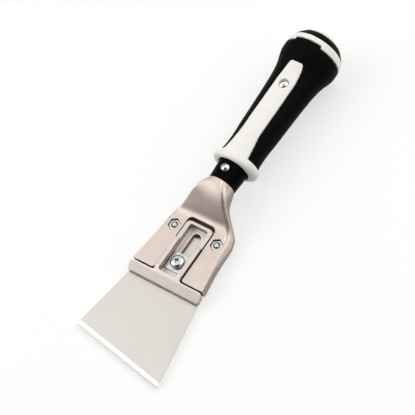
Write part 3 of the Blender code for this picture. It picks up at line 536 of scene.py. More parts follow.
def plate(name, outline, low_z, high_z):
    """A flat outline with thickness."""
    bm = bmesh.new()
    face = bm.faces.new([bm.verts.new((point.x, point.y, low_z)) for point in outline])
    grown = bmesh.ops.extrude_face_region(bm, geom=[face])
    moved = [item for item in grown["geom"] if isinstance(item, bmesh.types.BMVert)]
    bmesh.ops.translate(bm, vec=(0, 0, high_z - low_z), verts=moved)
    return add_piece(name, bm)


def block(name, low, high):
    corners = ((low[0], low[1]), (high[0], low[1]), (high[0], high[1]), (low[0], high[1]))
    return plate(name, [Vector(corner) for corner in corners], low[2], high[2])


print("a rounded square has", len(slot_outline(2 * MM, 0, 4 * MM, MM)), "points")

# %% Cuts and dress
FAR = 60 * MM    # reaches past any piece


def drill(name, radius, x, y, low_z=-FAR, high_z=FAR):
    """An upright round bar that cuts a hole or a seat."""
    return turned(name, [(radius, low_z), (radius, high_z)], Vector((x, y, 0)), steps=48)


def settle(piece):
    """Turns what the modifiers show into the piece's own plain mesh."""
    shown = piece.evaluated_get(bpy.context.evaluated_depsgraph_get())
    mesh = bpy.data.meshes.new_from_object(shown)
    piece.modifiers.clear()
    piece.data = mesh
    return piece


def carve(piece, joined=(), cut=(), kept=()):
    """Adds, cuts away or keeps only what lies inside other shapes, which are used up."""
    for operation, others in (('UNION', joined), ('DIFFERENCE', cut), ('INTERSECT', kept)):
        for other in others:
            modifier = piece.modifiers.new(operation.title(), 'BOOLEAN')
            modifier.operation = operation
            modifier.object = other
    settle(piece)
    for other in (*joined, *cut, *kept):
        bpy.data.objects.remove(other)
    return piece


def dress(piece, material, body, slot, *nodes):
    """Gives a piece its material, its body and the solids it stands for; its slot is not used."""
    piece.data.materials.clear()
    piece.data.materials.append(material)
    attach(piece, body)
    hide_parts(*nodes)
    print(f"{piece.name}: {len(piece.data.polygons)} faces for {', '.join(nodes)}")


print("cutters reach", FAR, "m past the middle")

# %% [markdown]
# ## Rounding a casting
#
# No edge of a casting is sharp: metal shrinks and tumbling rubs it. A Bevel modifier needs clean edges,
# and a loft with pockets cut in it has none. So the cut body is remeshed with voxels of a fraction of a
# millimetre and smoothed a little. That rounds every edge alike, inside and outside, and leaves flat
# faces where they are. Machined pieces with few faces do get a Bevel, and a Weighted Normal modifier
# keeps their flat faces flat in the light. Turned pieces only need smooth shading that stops at their
# sharp edges.

# %% Three ways to finish edges
CURVED_STEP = radians(4)    # faces that meet at less than this are one curved face


def soften(piece, voxel, rounds):
    """Remeshes a piece evenly and smooths it, as tumbling or moulding rounds it."""
    remesh = piece.modifiers.new("Even skin", 'REMESH')
    remesh.mode = 'VOXEL'
    remesh.voxel_size = voxel
    remesh.use_smooth_shade = True
    smooth = piece.modifiers.new("Rounding", 'SMOOTH')
    smooth.factor = 0.5
    smooth.iterations = rounds
    settle(piece)
    piece.data.shade_smooth()
    return piece


def shade(piece, sharp):
    """Smooth shading that stops at edges sharper than an angle."""
    piece.data.shade_smooth()
    piece.data.set_sharp_from_angle(angle=sharp)


def break_edges(piece, width, segments=2, angle=30):
    """Bevels the edges of a machined piece and keeps its flat faces flat in the light."""
    shade(piece, CURVED_STEP)
    bevel = piece.modifiers.new("Broken edges", 'BEVEL')
    bevel.width = width
    bevel.segments = segments
    bevel.limit_method = 'ANGLE'
    bevel.angle_limit = radians(angle)
    bevel.use_clamp_overlap = True
    weights = piece.modifiers.new("Flat faces", 'WEIGHTED_NORMAL')
    weights.keep_sharp = True
    return settle(piece)


print("curved faces meet at less than", round(CURVED_STEP, 2), "radians")

# %% [markdown]
# ## Curves through a few sizes
#
# A form that swells and narrows is written down as a few places with a size at each. Straight lines
# between them would show as corners, and an ordinary spline swings past them, so the slopes are chosen
# by a rule that never lets the curve go beyond its neighbours.

# %% Smooth curves
def curve_through(knots):
    """A smooth function through (place, value) knots that never overshoots them."""
    places = [place for place, _ in knots]
    rises = [(v1 - v0) / (p1 - p0) for (p0, v0), (p1, v1) in zip(knots, knots[1:])]
    slopes = [rises[0]]
    for before, after in zip(rises, rises[1:]):
        slopes.append(2 * before * after / (before + after) if before * after > 0 else 0.0)
    slopes.append(rises[-1])

    def value(place):
        first = max(0, min(len(knots) - 2, bisect(places, place) - 1))
        (p0, v0), (p1, v1) = knots[first], knots[first + 1]
        span = p1 - p0
        t = (place - p0) / span
        return ((2 * t**3 - 3 * t**2 + 1) * v0 + (t**3 - 2 * t**2 + t) * span * slopes[first]
                + (3 * t**2 - 2 * t**3) * v1 + (t**3 - t**2) * span * slopes[first + 1])

    return value


def column_curve(rows, column):
    """The curve of one column of a table whose first column is the place."""
    return curve_through([(row[0], row[column]) for row in rows])


def spread(low, high, step):
    """Places from low to high, about a step apart."""
    count = max(1, round((high - low) / step))
    return [low + (high - low) * index / count for index in range(count + 1)]


print("through 0, 1, 1:", [round(curve_through([(0, 0), (1, 1), (2, 1)])(t / 2), 2) for t in range(5)])

# %% [markdown]
# ## The cast head
#
# The head is the tool's main casting: two flat cheeks beside an open window, which sweep up into a
# cranked neck. It could be modelled from a subdivided cage, but its section changes by a rule, so it is
# lofted instead. Each section is worked out one side at a time: a rounded underside, a wall up to a
# ridge, and the front from the ridge to the middle. On the right the front is crowned, and a crease just
# inside the ridge makes the ridge read as a bead. On the left it bends up to the ridge without one.

# %% Sections of the head
HEAD_COLUMNS = "side_x side_z under_z boxy shoulder crest_x crest_z top_z".split()
HEAD_SECTIONS = (
    (-64.95, 28.0, 4.0, 2.6, 6.0, 0.7, 27.6, 10.45, 10.45),
    (-42.85, 25.6, 4.0, 2.6, 6.0, 0.7, 24.2, 10.45, 10.45),
    (-29.85, 25.3, 4.0, 2.6, 6.0, 0.7, 22.4, 10.45, 10.45),
    (-25.0, 24.2, 4.5, 2.6, 5.4, 0.7, 21.2, 10.6, 10.5),
    (-22.85, 23.5, 4.8, 2.6, 5.0, 0.7, 20.6, 10.95, 10.8),
    (-21.0, 22.3, 5.7, 2.8, 4.5, 0.72, 19.9, 11.7, 11.45),
    (-19.25, 20.9, 7.2, 3.2, 4.0, 0.75, 19.1, 13.2, 12.65),
    (-17.4, 19.4, 9.2, 3.95, 3.5, 0.775, 17.6, 15.6, 15.0),
    (-15.55, 17.8, 11.4, 4.8, 3.0, 0.8, 15.9, 18.5, 18.15),
    (-12.35, 15.2, 15.5, 6.4, 2.6, 0.85, 13.7, 23.1, 22.5),
    (-8.75, 13.1, 18.6, 8.0, 2.3, 0.88, 11.5, 26.6, 25.75),
    (-5.45, 12.2, 19.3, 8.6, 2.1, 0.88, 9.5, 28.1, 27.7),
    (-1.85, 11.2, 19.4, 9.1, 2.0, 0.8, 6.9, 28.5, 28.95),
    (2.25, 9.9, 19.5, 9.6, 2.0, 0.62, 5.4, 27.8, 29.4))
CREASE_DEPTH = curve_through([(-65, 0), (-40, 0), (-30, 0.25), (-20, 2.0), (-12, 2.4), (-6, 1.8), (0, 0.6),
                              (2.25, 0.1)])
CROWN = curve_through([(-65, 0), (-25, 0), (-20, 0.5), (-14, 0.9), (-8, 0.8), (2.25, 0.4)])
CREASE_INSET, CREASE_WIDTH, BEAD_INSIDE, BEAD_TOP = 1.5, 0.6, 1.8, 0.7
UNDER_STEPS, WALL_STEPS, FRONT_STEPS = 16, 14, 64
HEAD_STEP = 0.8
head_curves = {name: column_curve(HEAD_SECTIONS, column) for column, name in enumerate(HEAD_COLUMNS, 1)}


def bend(start, corner, end, steps):
    """Points of a quadratic curve, without its end."""
    shares = (step / steps for step in range(steps))
    return [(1 - t)**2 * start + 2 * t * (1 - t) * corner + t**2 * end for t in shares]


def front_height(x, y, crest, top_z, beaded):
    """Height of the front: a face that bends up to the ridge, or a crowned one with a crease and a bead."""
    if not beaded:
        return top_z + (crest.y - top_z) * (x / crest.x) ** 2
    rim_z = min(crest.y, top_z - CROWN(y))
    inset = crest.x - x
    share = min(1.0, max(0.0, (BEAD_INSIDE - inset) / (BEAD_INSIDE - BEAD_TOP)))
    bead = (crest.y - rim_z) * share**2 * (3 - 2 * share)
    crease = CREASE_DEPTH(y) * exp(-((inset - CREASE_INSET) / CREASE_WIDTH) ** 2)
    return top_z + (rim_z - top_z) * (x / crest.x) ** 2 + bead - crease


def head_half(y, beaded):
    """One side of the head's section at y, from under the middle round to the top, in millimetres."""
    at = {name: curve(y) for name, curve in head_curves.items()}
    side, crest = Vector((at["side_x"], at["side_z"])), Vector((at["crest_x"], at["crest_z"]))
    half = []
    for step in range(UNDER_STEPS):
        angle = pi / 2 * step / UNDER_STEPS
        half.append(Vector((side.x * sin(angle) ** (2 / at["boxy"]),
                            side.y - (side.y - at["under_z"]) * cos(angle) ** (2 / at["boxy"]))))
    half += bend(side, Vector((side.x, side.y + at["shoulder"] * (crest.y - side.y))), crest, WALL_STEPS)
    for step in range(FRONT_STEPS + 1):
        x = crest.x * (1 - step / FRONT_STEPS)
        half.append(Vector((x, front_height(x, y, crest, at["top_z"], beaded))))
    return half


def head_ring(y):
    """Section of the head at y in millimetres, as points in metres."""
    left = [Vector((-point.x, point.y)) for point in head_half(y, False)]
    ring = head_half(y, True) + left[-2:0:-1]
    return [Vector((point.x, y, point.y)) * MM for point in ring]


HEAD_LOW, NECK = HEAD_SECTIONS[0][0], HEAD_SECTIONS[-1][0]
head = skin("cast_head", [head_ring(y) for y in spread(HEAD_LOW, NECK, HEAD_STEP)])
print("head blank:", len(head.data.polygons), "faces")

# %% [markdown]
# ## Window, pockets and stub
#
# The head's window takes the clamp's stem, and the lower corners of its cheeks are rounded in plan. Two
# hexagonal pockets keep the nuts from turning. Behind the neck a round stub goes into the black sleeve.
# All of these are plates and bars that are joined to the loft or cut from it, and the whole is softened
# as a casting.

# %% Finish the head
stub_end_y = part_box("head_casting")[1].y
sleeve_low, sleeve_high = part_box("neck_sleeve")
nut_low, nut_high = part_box("frame_nut_right")
NUT = (nut_low + nut_high) / 2
AXIS = Vector((0, 0, (sleeve_low.z + sleeve_high.z) / 2))
WINDOW_HALF, WINDOW_TOP_Y, WINDOW_R = 11.0 * MM, -22.65 * MM, 3.6 * MM
CHEEK_Y, CHEEK_R = HEAD_LOW * MM - 0.05 * MM, 2.0 * MM
STUB_R, STUB_ROOT_Y, STUB_BORE_R, STUB_BORE_LONG = 6.0 * MM, (NECK - 2) * MM, 3.3 * MM, 10.0 * MM
POCKET_ACROSS, POCKET_FLOOR_Z, FRAME_HOLE_R = 7.7 * MM, 6.35 * MM, 2.1 * MM
RIVET_Y, RIVET_HOLE_R = 10.75 * MM, 1.9 * MM
HEAD_VOXEL = 0.36 * MM


def hexagon(across, x, y):
    """Outline of a hexagon of a width across its flats, with corners along Y."""
    radius = across / sqrt(3)
    angles = [pi / 2 + index * pi / 3 for index in range(6)]
    return [Vector((x + radius * cos(angle), y + radius * sin(angle))) for angle in angles]


def axle(name, radius, low_y, high_y, steps=48):
    """A round bar along the handle's axis."""
    return turned(name, [(radius, low_y), (radius, high_y)], AXIS, 'Y', steps)


def window_cutter():
    wide = WINDOW_HALF + 3 * CHEEK_R
    return plate("window", rounded(both_sides([
        (wide, CHEEK_Y - FAR, 0), (wide, CHEEK_Y, 0), (WINDOW_HALF, CHEEK_Y, CHEEK_R),
        (WINDOW_HALF, WINDOW_TOP_Y, WINDOW_R)])), -FAR, FAR)


def finish_head():
    cutters = [window_cutter(), axle("bore", STUB_BORE_R, stub_end_y - STUB_BORE_LONG, FAR),
               drill("stub_rivet_way", RIVET_HOLE_R, 0, RIVET_Y)]
    for x in (-NUT.x, NUT.x):
        cutters.append(plate("pocket", hexagon(POCKET_ACROSS, x, NUT.y), POCKET_FLOOR_Z, FAR))
        cutters.append(drill("frame_hole", FRAME_HOLE_R, x, NUT.y))
    carve(head, joined=[axle("stub", STUB_R, STUB_ROOT_Y, stub_end_y)], cut=cutters)
    soften(head, HEAD_VOXEL, 2)
    dress(head, HEAD_CASTING, "tool", "cast_alloy", "head_casting")


finish_head()

# %% [markdown]
# ## The clamp
#
# A T-shaped clamp slides in the window: its stem is sunk, with a slot for the screw, and its crossbar
# presses on the blade right across. The rails beside the sunk floor step down towards the neck. The
# crossbar's top falls in a ramp and then a steeper face, and a low lip under its front leaves a thin
# dark line on the blade. It is a second casting, so it is made of plates and blocks and softened as the
# head is, with a finer voxel because it is smaller.

# %% Clamp slide
slide_low, slide_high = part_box("clamp_slide")
screw_low, screw_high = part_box("clamp_screw")
SCREW = (screw_low + screw_high) / 2
BAR_TOP_Y, BAR_R, BAR_FOOT_SLOPE = -65.85 * MM, 2.7 * MM, 1.2 * MM
RAMP_TOP_Y, RAMP_LOW_Y, RAMP_DROP, BAR_FRONT_Z = -62.6 * MM, -66.9 * MM, 2.1 * MM, 6.2 * MM
LIP_DEEP, LIP_HIGH = 2.2 * MM, 1.3 * MM
STEM_HALF, STEM_R, STEM_FILLET_R = 10.3 * MM, 3.2 * MM, 1.2 * MM
RAIL_STEP_Y, RAIL_LOW_Z = -39.85 * MM, 10.8 * MM
RECESS_HALF, RECESS_LOW_Y, RECESS_TOP_Y, RECESS_R = 7.0 * MM, -64.65 * MM, -27.25 * MM, 1.5 * MM
RECESS_FLOOR_Z = 6.2 * MM
SLOT_HALF, SLOT_TOP_Y = 3.1 * MM, -30.05 * MM
NEARLY_ROUND = 0.98    # a corner of this share of the half width leaves no two points in one place
CLAMP_VOXEL = 0.3 * MM


def leaning_block(name, low_z, place, lean):
    """A large block behind an edge along X, which is leaned about X and then set down at a place."""
    leaned = block(name, (-FAR, -FAR, low_z), (FAR, 0, FAR))
    leaned.data.transform(Matrix.Translation(place) @ Matrix.Rotation(lean, 4, 'X'))
    return leaned


def bar_cutters():
    """Blocks that lean the crossbar's foot back, slope its top twice and cut its lip."""
    lean = atan2(BAR_FOOT_SLOPE, slide_high.z - slide_low.z)
    fall = atan2(RAMP_DROP, RAMP_TOP_Y - RAMP_LOW_Y)
    ramp_low_z = slide_high.z - RAMP_DROP
    steep = atan2(ramp_low_z - BAR_FRONT_Z, RAMP_LOW_Y - slide_low.y)
    return [leaning_block("foot", -FAR, (0, slide_low.y, slide_low.z), -lean),
            leaning_block("ramp", 0, (0, RAMP_TOP_Y, slide_high.z), fall),
            leaning_block("face", 0, (0, RAMP_LOW_Y, ramp_low_z), steep),
            block("lip", (-FAR, -FAR, -FAR), (FAR, slide_low.y + LIP_DEEP, slide_low.z + LIP_HIGH))]


def make_clamp():
    outline = rounded(both_sides([
        (slide_high.x, slide_low.y, BAR_R), (slide_high.x, BAR_TOP_Y, BAR_R),
        (STEM_HALF, BAR_TOP_Y, STEM_FILLET_R), (STEM_HALF, slide_high.y, STEM_R)]))
    clamp = plate("clamp_tee", outline, slide_low.z, slide_high.z)
    slot = slot_outline(SLOT_HALF, SCREW.y - SLOT_HALF, SLOT_TOP_Y, SLOT_HALF * NEARLY_ROUND)
    carve(clamp, cut=[
        plate("recess", slot_outline(RECESS_HALF, RECESS_LOW_Y, RECESS_TOP_Y, RECESS_R), RECESS_FLOOR_Z, FAR),
        plate("slot", slot, -FAR, FAR),
        block("rail_step", (-FAR, RAIL_STEP_Y, RAIL_LOW_Z), (FAR, FAR, FAR)), *bar_cutters()])
    soften(clamp, CLAMP_VOXEL, 4)
    dress(clamp, CLAMP_CASTING, "slide", "cast_alloy", "clamp_slide")


make_clamp()

# %% [markdown]
# ## The blade
#
# The blade is a flat trapezium of steel strip with a forked tang that straddles the clamp screw. Its
# edge is skewed and ground from the front only. It is cut from a plate with two leaning blocks, one for
# each facet of the grind, and its long edges are only just broken, because a real blade is sheared and
# ground.

# %% Blade
SHOULDER_HALF, SHOULDER_Y, SHOULDER_R = 26.3 * MM, -65.65 * MM, 0.8 * MM
TANG_HALF, TANG_R, FORK_R, TANG_SLOT_HALF = 10.4 * MM, 1.5 * MM, 1.0 * MM, 4.1 * MM
FACET_DROP, EDGE_DROP = 0.5 * MM, 1.15 * MM


def grinding_block(name, run, start_drop, end_drop, reach):
    """Block whose underside is one facet: it drops over a run that starts at a reach from the edge."""
    slope = atan2(end_drop - start_drop, run)
    wheel = block(name, (-2 * FAR, -FAR, 0), (2 * FAR, FAR / 2, FAR))
    wheel.data.transform(
        Matrix.Translation(EDGE_MIDDLE) @ Matrix.Rotation(EDGE_SKEW, 4, 'Z')
        @ Matrix.Translation((0, reach, blade_high.z - start_drop)) @ Matrix.Rotation(slope, 4, 'X'))
    return wheel


def make_blade():
    corners = both_sides([
        (blade_high.x, blade_low.y, 0), (SHOULDER_HALF, SHOULDER_Y, 0), (TANG_HALF, SHOULDER_Y, SHOULDER_R),
        (TANG_HALF, blade_high.y, TANG_R), (TANG_SLOT_HALF, blade_high.y, FORK_R),
        (TANG_SLOT_HALF, SCREW.y - TANG_SLOT_HALF, TANG_SLOT_HALF * NEARLY_ROUND)])
    corners[-1] = (blade_low.x, EDGE_SHORT_Y, 0)
    blade = plate("scraper_blade", rounded(corners), blade_low.z, blade_high.z)
    carve(blade, cut=[
        grinding_block("first_wheel", GRIND_WIDTH - EDGE_STRIP, 0, FACET_DROP, GRIND_WIDTH),
        grinding_block("second_wheel", EDGE_STRIP, FACET_DROP, EDGE_DROP, EDGE_STRIP)])
    break_edges(blade, 0.08 * MM, 2, 40)
    dress(blade, BLADE_STEEL, "blade", "blade_steel", "blade")


make_blade()

# %% [markdown]
# ## The backing plate
#
# Behind the blade a steel plate closes the head. Only the rib on it can be seen, through the clamp's
# slot: it fills the fork of the blade and guides it. The rest is kept plain: a waisted outline with
# broken edges, countersinks for the two frame screws and a seat for the threaded bush.

# %% Backing plate
plate_low, plate_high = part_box("back_plate")
bush_low, bush_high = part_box("clamp_bush")
WAIST_HALF, WAIST_Y, PLATE_TOP_HALF, PLATE_R = 21.4 * MM, -28.45 * MM, 15.0 * MM, 3.0 * MM
PLATE_THICK, RIB_LOW_Y, RIB_TOP_Y, RIB_R = 2.3 * MM, -48.2 * MM, -32.2 * MM, 1.0 * MM
BUSH_FLANGE_R, BUSH_FLANGE_THICK, BUSH_R = (bush_high.x - bush_low.x) / 2, 0.9 * MM, 3.8 * MM
FRAME_SCREW_R, FRAME_HEAD_R, FRAME_HEAD_HIGH = 1.8 * MM, 3.6 * MM, 1.9 * MM
GAP = 0.3 * MM


def make_backing_plate():
    backing = plate("backing_plate", rounded(both_sides([
        (plate_high.x, plate_low.y, PLATE_R), (WAIST_HALF, WAIST_Y, PLATE_R),
        (PLATE_TOP_HALF, plate_high.y, PLATE_R)])), plate_low.z, PLATE_THICK)
    rib_outline = slot_outline(TANG_SLOT_HALF - GAP, RIB_LOW_Y, RIB_TOP_Y, RIB_R)
    cutters = [drill("bush_hole", BUSH_R + GAP, 0, SCREW.y),
               drill("bush_seat", BUSH_FLANGE_R + GAP, 0, SCREW.y, high_z=BUSH_FLANGE_THICK + 1.5 * GAP)]
    wide, slim = FRAME_HEAD_R + GAP, FRAME_SCREW_R + GAP
    sink = [(wide, -FAR), (wide, 1.5 * GAP), (slim, FRAME_HEAD_HIGH + GAP), (slim, FAR)]
    for x in (-NUT.x, NUT.x):
        cutters.append(turned("countersink", sink, Vector((x, NUT.y, 0)), steps=48))
    carve(backing, joined=[plate("rib", rib_outline, PLATE_THICK / 2, plate_high.z)], cut=cutters)
    break_edges(backing, 0.25 * MM)
    dress(backing, PLATE_STEEL, "tool", "plate_steel", "back_plate")


make_backing_plate()

# %% [markdown]
# ## Threads by a formula
#
# A screw thread is a groove that climbs one pitch in each turn. A Screw modifier can sweep one, but it
# leaves open ends. Here the shank is a skin of many thin rings, and each point's radius follows a
# formula of its height and its angle, so the thread is truly helical and the body stays closed.

# %% Threaded shanks and the clamp screw
SCREW_HEAD_R, UNDER_HEAD_Z = (screw_high.x - screw_low.x) / 2, 7.8 * MM
SCREW_SHANK_R, SCREW_PITCH, SCREW_NECK = 2.35 * MM, 0.8 * MM, 0.4 * MM
THREAD_STEPS, THREAD_DEPTH, THREAD_TIP = 48, 0.55, 0.5 * MM
PAN_NIP, PAN_WALL, CROWN_STEPS, CROWN_BULGE = 0.2 * MM, 0.14, 15, 0.8
CROSS_LONG, CROSS_WIDE, CROSS_DEEP = 4.4 * MM, 1.2 * MM, 1.8 * MM
TIP_R = 0.05 * MM    # a last ring small enough to look like a point


def threaded_rings(radius, pitch, centre, low_z, high_z):
    """Rings of a threaded shank from its chamfered tip up to a plain neck."""
    rings = []
    for z in spread(low_z, high_z, pitch / 10):
        tip = max(0.0, THREAD_TIP - (z - low_z))
        ring = []
        for step in range(THREAD_STEPS):
            angle = 2 * pi * step / THREAD_STEPS
            turn = ((z - low_z) / pitch - step / THREAD_STEPS) % 1.0
            reach = min(radius - THREAD_DEPTH * pitch * abs(2 * turn - 1), radius - tip)
            ring.append(Vector((centre.x + reach * cos(angle), centre.y + reach * sin(angle), z)))
        rings.append(ring)
    return rings


def head_rings(profile, centre):
    return [circle(radius, Vector((centre.x, centre.y, z)), 'Z', THREAD_STEPS) for radius, z in profile]


def pan_head(radius, low_z, high_z):
    """Profile of a pan head from its underside up: a short wall and a low crown."""
    rim_z = low_z + PAN_WALL * (high_z - low_z)
    wall = [(SCREW_SHANK_R, low_z), (radius - PAN_NIP, low_z), (radius, low_z + PAN_NIP), (radius, rim_z)]
    angles = [pi / 2 * step / CROWN_STEPS for step in range(1, CROWN_STEPS)]
    return wall + [(radius * cos(a) ** CROWN_BULGE, rim_z + (high_z - rim_z) * sin(a)) for a in angles]


def cross_recess(name, top_z):
    """Two tapered wings of a cross-head driver."""
    wings = []
    for turn in (0, pi / 2):
        rings = []
        for share, z in ((1.0, top_z + MM), (0.55, top_z - CROSS_DEEP)):
            long, wide = CROSS_LONG / 2 * share, CROSS_WIDE / 2 * (0.4 + 0.6 * share)
            corners = [Vector((x * long, y * wide, z)) for x, y in ((-1, -1), (1, -1), (1, 1), (-1, 1))]
            rings.append([Matrix.Rotation(turn, 3, 'Z') @ corner + Vector((SCREW.x, SCREW.y, 0))
                          for corner in corners])
        wings.append(skin(name, rings))
    return wings


def make_clamp_screw():
    rings = threaded_rings(SCREW_SHANK_R, SCREW_PITCH, SCREW, screw_low.z, UNDER_HEAD_Z - SCREW_NECK)
    rings += head_rings(pan_head(SCREW_HEAD_R, UNDER_HEAD_Z, screw_high.z) + [(TIP_R, screw_high.z)], SCREW)
    bolt = skin("clamp_bolt", rings)
    carve(bolt, cut=cross_recess("recess", screw_high.z))
    shade(bolt, radians(40))
    dress(bolt, ZINC, "screw", "zinc_plate", "clamp_screw")


make_clamp_screw()

# %% [markdown]
# ## Washer and bush
#
# The square washer spreads the screw's pull over the clamp's floor. The threaded bush behind the blade
# takes the screw. One is a plate with a hole, the other a turned ring with small chamfers, and both are
# zinc plated.

# %% Square washer and threaded bush
washer_low, washer_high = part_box("square_washer")
WASHER_R, WASHER_HOLE_R = 0.7 * MM, 2.8 * MM
BUSH_BORE_R, BUSH_CHAMFER = 2.65 * MM, 0.25 * MM


def make_washer():
    outline = slot_outline(washer_high.x, washer_low.y, washer_high.y, WASHER_R)
    washer = plate("bolt_washer", outline, washer_low.z, washer_high.z)
    carve(washer, cut=[drill("hole", WASHER_HOLE_R, SCREW.x, SCREW.y, SCREW.z - FAR, SCREW.z + FAR)])
    break_edges(washer, 0.2 * MM, 3)
    dress(washer, ZINC, "washer", "zinc_plate", "square_washer")


def make_bush():
    low, high, shoulder = bush_low.z, bush_high.z, bush_low.z + BUSH_FLANGE_THICK
    nip = BUSH_CHAMFER
    bush = turned("threaded_bush", [
        (BUSH_BORE_R + nip, low), (BUSH_FLANGE_R - nip, low), (BUSH_FLANGE_R, low + nip),
        (BUSH_FLANGE_R, shoulder), (BUSH_R, shoulder), (BUSH_R, high - nip), (BUSH_R - nip, high),
        (BUSH_BORE_R + nip, high),
        (BUSH_BORE_R, high - nip), (BUSH_BORE_R, low + nip)], Vector((SCREW.x, SCREW.y, 0)), looped=True)
    shade(bush, radians(30))
    dress(bush, ZINC, "tool", "zinc_plate", "clamp_bush")


make_washer()
make_bush()

# %% [markdown]
# ## Two nuts and two screws with Geometry Nodes
#
# A hex nut sits in each cheek, a little below the face so that the wall of its pocket shows, with the
# end of a countersunk screw in it. What repeats is made once and placed by a Geometry Nodes tree: a Mesh
# Line of two points, an instance on each, then Realize Instances and Set Material, because instances
# would be lost when the model is exported. The tree's inputs are the fixing, its half spacing, its place
# and its plating.

# %% A tree that places a pair
def open_tree(name, inputs):
    """An empty geometry tree with a geometry output and named inputs of (name, socket type)."""
    tree = bpy.data.node_groups.new(name, 'GeometryNodeTree')
    tree.interface.new_socket("Geometry", in_out='OUTPUT', socket_type='NodeSocketGeometry')
    sockets = {label: tree.interface.new_socket(label, in_out='INPUT', socket_type=kind)
               for label, kind in (*inputs, ("Plating", 'NodeSocketMaterial'))}
    return tree, add_node(tree, 'NodeGroupInput').outputs, sockets


def close_tree(tree, shape, plating):
    """Ends a geometry tree: its instances are made real and it gets its material."""
    real = add_node(tree, 'GeometryNodeRealizeInstances', None, {0: shape})
    finished = add_node(tree, 'GeometryNodeSetMaterial', None,
                        {"Geometry": real.outputs[0], "Material": plating})
    add_node(tree, 'NodeGroupOutput', None, {0: finished.outputs[0]})


def pair_tree():
    tree, given, sockets = open_tree("pair of fixings", (
        ("Fixing", 'NodeSocketObject'), ("Half spacing", 'NodeSocketFloat'), ("Place", 'NodeSocketVector')))
    ends = []
    for side in (-1.0, 1.0):
        reach = add_node(tree, 'ShaderNodeMath', {"operation": 'MULTIPLY', 1: side},
                         {0: given["Half spacing"]})
        aside = add_node(tree, 'ShaderNodeCombineXYZ', None, {"X": reach.outputs[0]})
        ends.append(add_node(tree, 'ShaderNodeVectorMath', {"operation": 'ADD'},
                             {0: given["Place"], 1: aside.outputs[0]}).outputs[0])
    line = add_node(tree, 'GeometryNodeMeshLine', {"mode": 'END_POINTS', "Count": 2},
                    {"Start Location": ends[0], "Offset": ends[1]})
    fixing = add_node(tree, 'GeometryNodeObjectInfo', None, {"Object": given["Fixing"]})
    pair = add_node(tree, 'GeometryNodeInstanceOnPoints', None,
                    {"Points": line.outputs[0], "Instance": fixing.outputs["Geometry"]})
    close_tree(tree, pair.outputs[0], given["Plating"])
    return tree, sockets


def grow(name, tree, sockets, values):
    """A plain mesh piece grown by a geometry tree, with each input set by its socket's identifier."""
    piece = add_object(name, bpy.data.meshes.new(name))
    modifier = piece.modifiers.new(tree.name, 'NODES')
    modifier.node_group = tree
    for label, value in values.items():
        modifier[sockets[label].identifier] = value
    return settle(piece)


PAIR_TREE, PAIR_SOCKETS = pair_tree()
print("tree:", PAIR_TREE.name, "with", len(PAIR_TREE.nodes), "nodes")

# %% Nuts and frame screws
frame_low, frame_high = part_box("frame_screw_right")
NUT_ACROSS, NUT_SINK, NUT_NIP = nut_high.x - nut_low.x, 0.5 * MM, 0.55 * MM
NUT_R = NUT_ACROSS / sqrt(3)
FRAME_PITCH, FRAME_NIP, FRAME_NECK = 0.7 * MM, 0.15 * MM, 0.2 * MM
DRIVER_HALF, DRIVER_DEEP = 0.5 * MM, 0.8 * MM


def hex_nut():
    """A nut about the origin: a hexagon whose corners are turned down, with a chamfered hole."""
    low, high = nut_low.z, nut_high.z - NUT_SINK
    past, drop = NUT_R + 0.1 * MM, 0.6 * NUT_NIP
    flare, past_end, flare_end = FRAME_HOLE_R + NUT_NIP, 0.3 * MM, 0.5 * MM
    nut = plate("nut", hexagon(NUT_ACROSS, 0, 0), low, high)
    drum = turned("drum", [(NUT_R - NUT_NIP, low), (past, low + drop), (past, high - drop),
                           (NUT_R - NUT_NIP, high)], Vector())
    hole = turned("hole", [(flare, low - past_end), (FRAME_HOLE_R, low + flare_end),
                           (FRAME_HOLE_R, high - flare_end), (flare, high + past_end)], Vector(), steps=48)
    carve(nut, cut=[hole], kept=[drum])
    shade(nut, radians(30))
    return nut


def countersunk_screw():
    """A countersunk screw about the origin, head down, with its threaded end in the nut."""
    low = frame_low.z
    rings = head_rings([(TIP_R, low), (FRAME_HEAD_R - FRAME_NIP, low), (FRAME_HEAD_R, low + FRAME_NIP),
                        (FRAME_SCREW_R, FRAME_HEAD_HIGH)], Vector())
    shank = threaded_rings(FRAME_SCREW_R, FRAME_PITCH, Vector(), -frame_high.z, -FRAME_HEAD_HIGH - FRAME_NECK)
    rings += [[Vector((point.x, point.y, -point.z)) for point in ring] for ring in reversed(shank)]
    screw = skin("screw", rings)
    slot = block("driver_slot", (-FAR, -DRIVER_HALF, -FAR), (FAR, DRIVER_HALF, low + DRIVER_DEEP))
    carve(screw, cut=[slot])
    shade(screw, radians(30))
    return screw


def make_pair(name, fixing, *nodes):
    pair = grow(name, PAIR_TREE, PAIR_SOCKETS, {
        "Fixing": fixing, "Half spacing": NUT.x, "Place": (0, NUT.y, 0), "Plating": ZINC})
    bpy.data.objects.remove(fixing)
    dress(pair, ZINC, "tool", "zinc_plate", *nodes)


make_pair("frame_nuts", hex_nut(), "frame_nut_left", "frame_nut_right")
make_pair("frame_screws", countersunk_screw(), "frame_screw_left", "frame_screw_right")

# %% [markdown]
# ## Domed rivet and pin with Geometry Nodes
#
# The neck rivet and the pin in the handle are the same kind of thing at two sizes: a domed head, a
# shank, and an end that was hammered out or just rounded. One tree makes both. A dome is a short curve
# whose scale follows a quarter circle, given a round section by Curve to Mesh, and a Mesh Boolean joins
# head, shank and tail.

# %% A tree for domed fixings
DOME_POINTS, DOME_SIDES, DOME_TURN = 14, 48, 0.985 * pi / 2
SHANK_OVERLAP = 0.6 * MM
DOMED_SIZES = ("Head radius", "Head height", "Shank radius", "Shank length", "Tail radius", "Tail height")


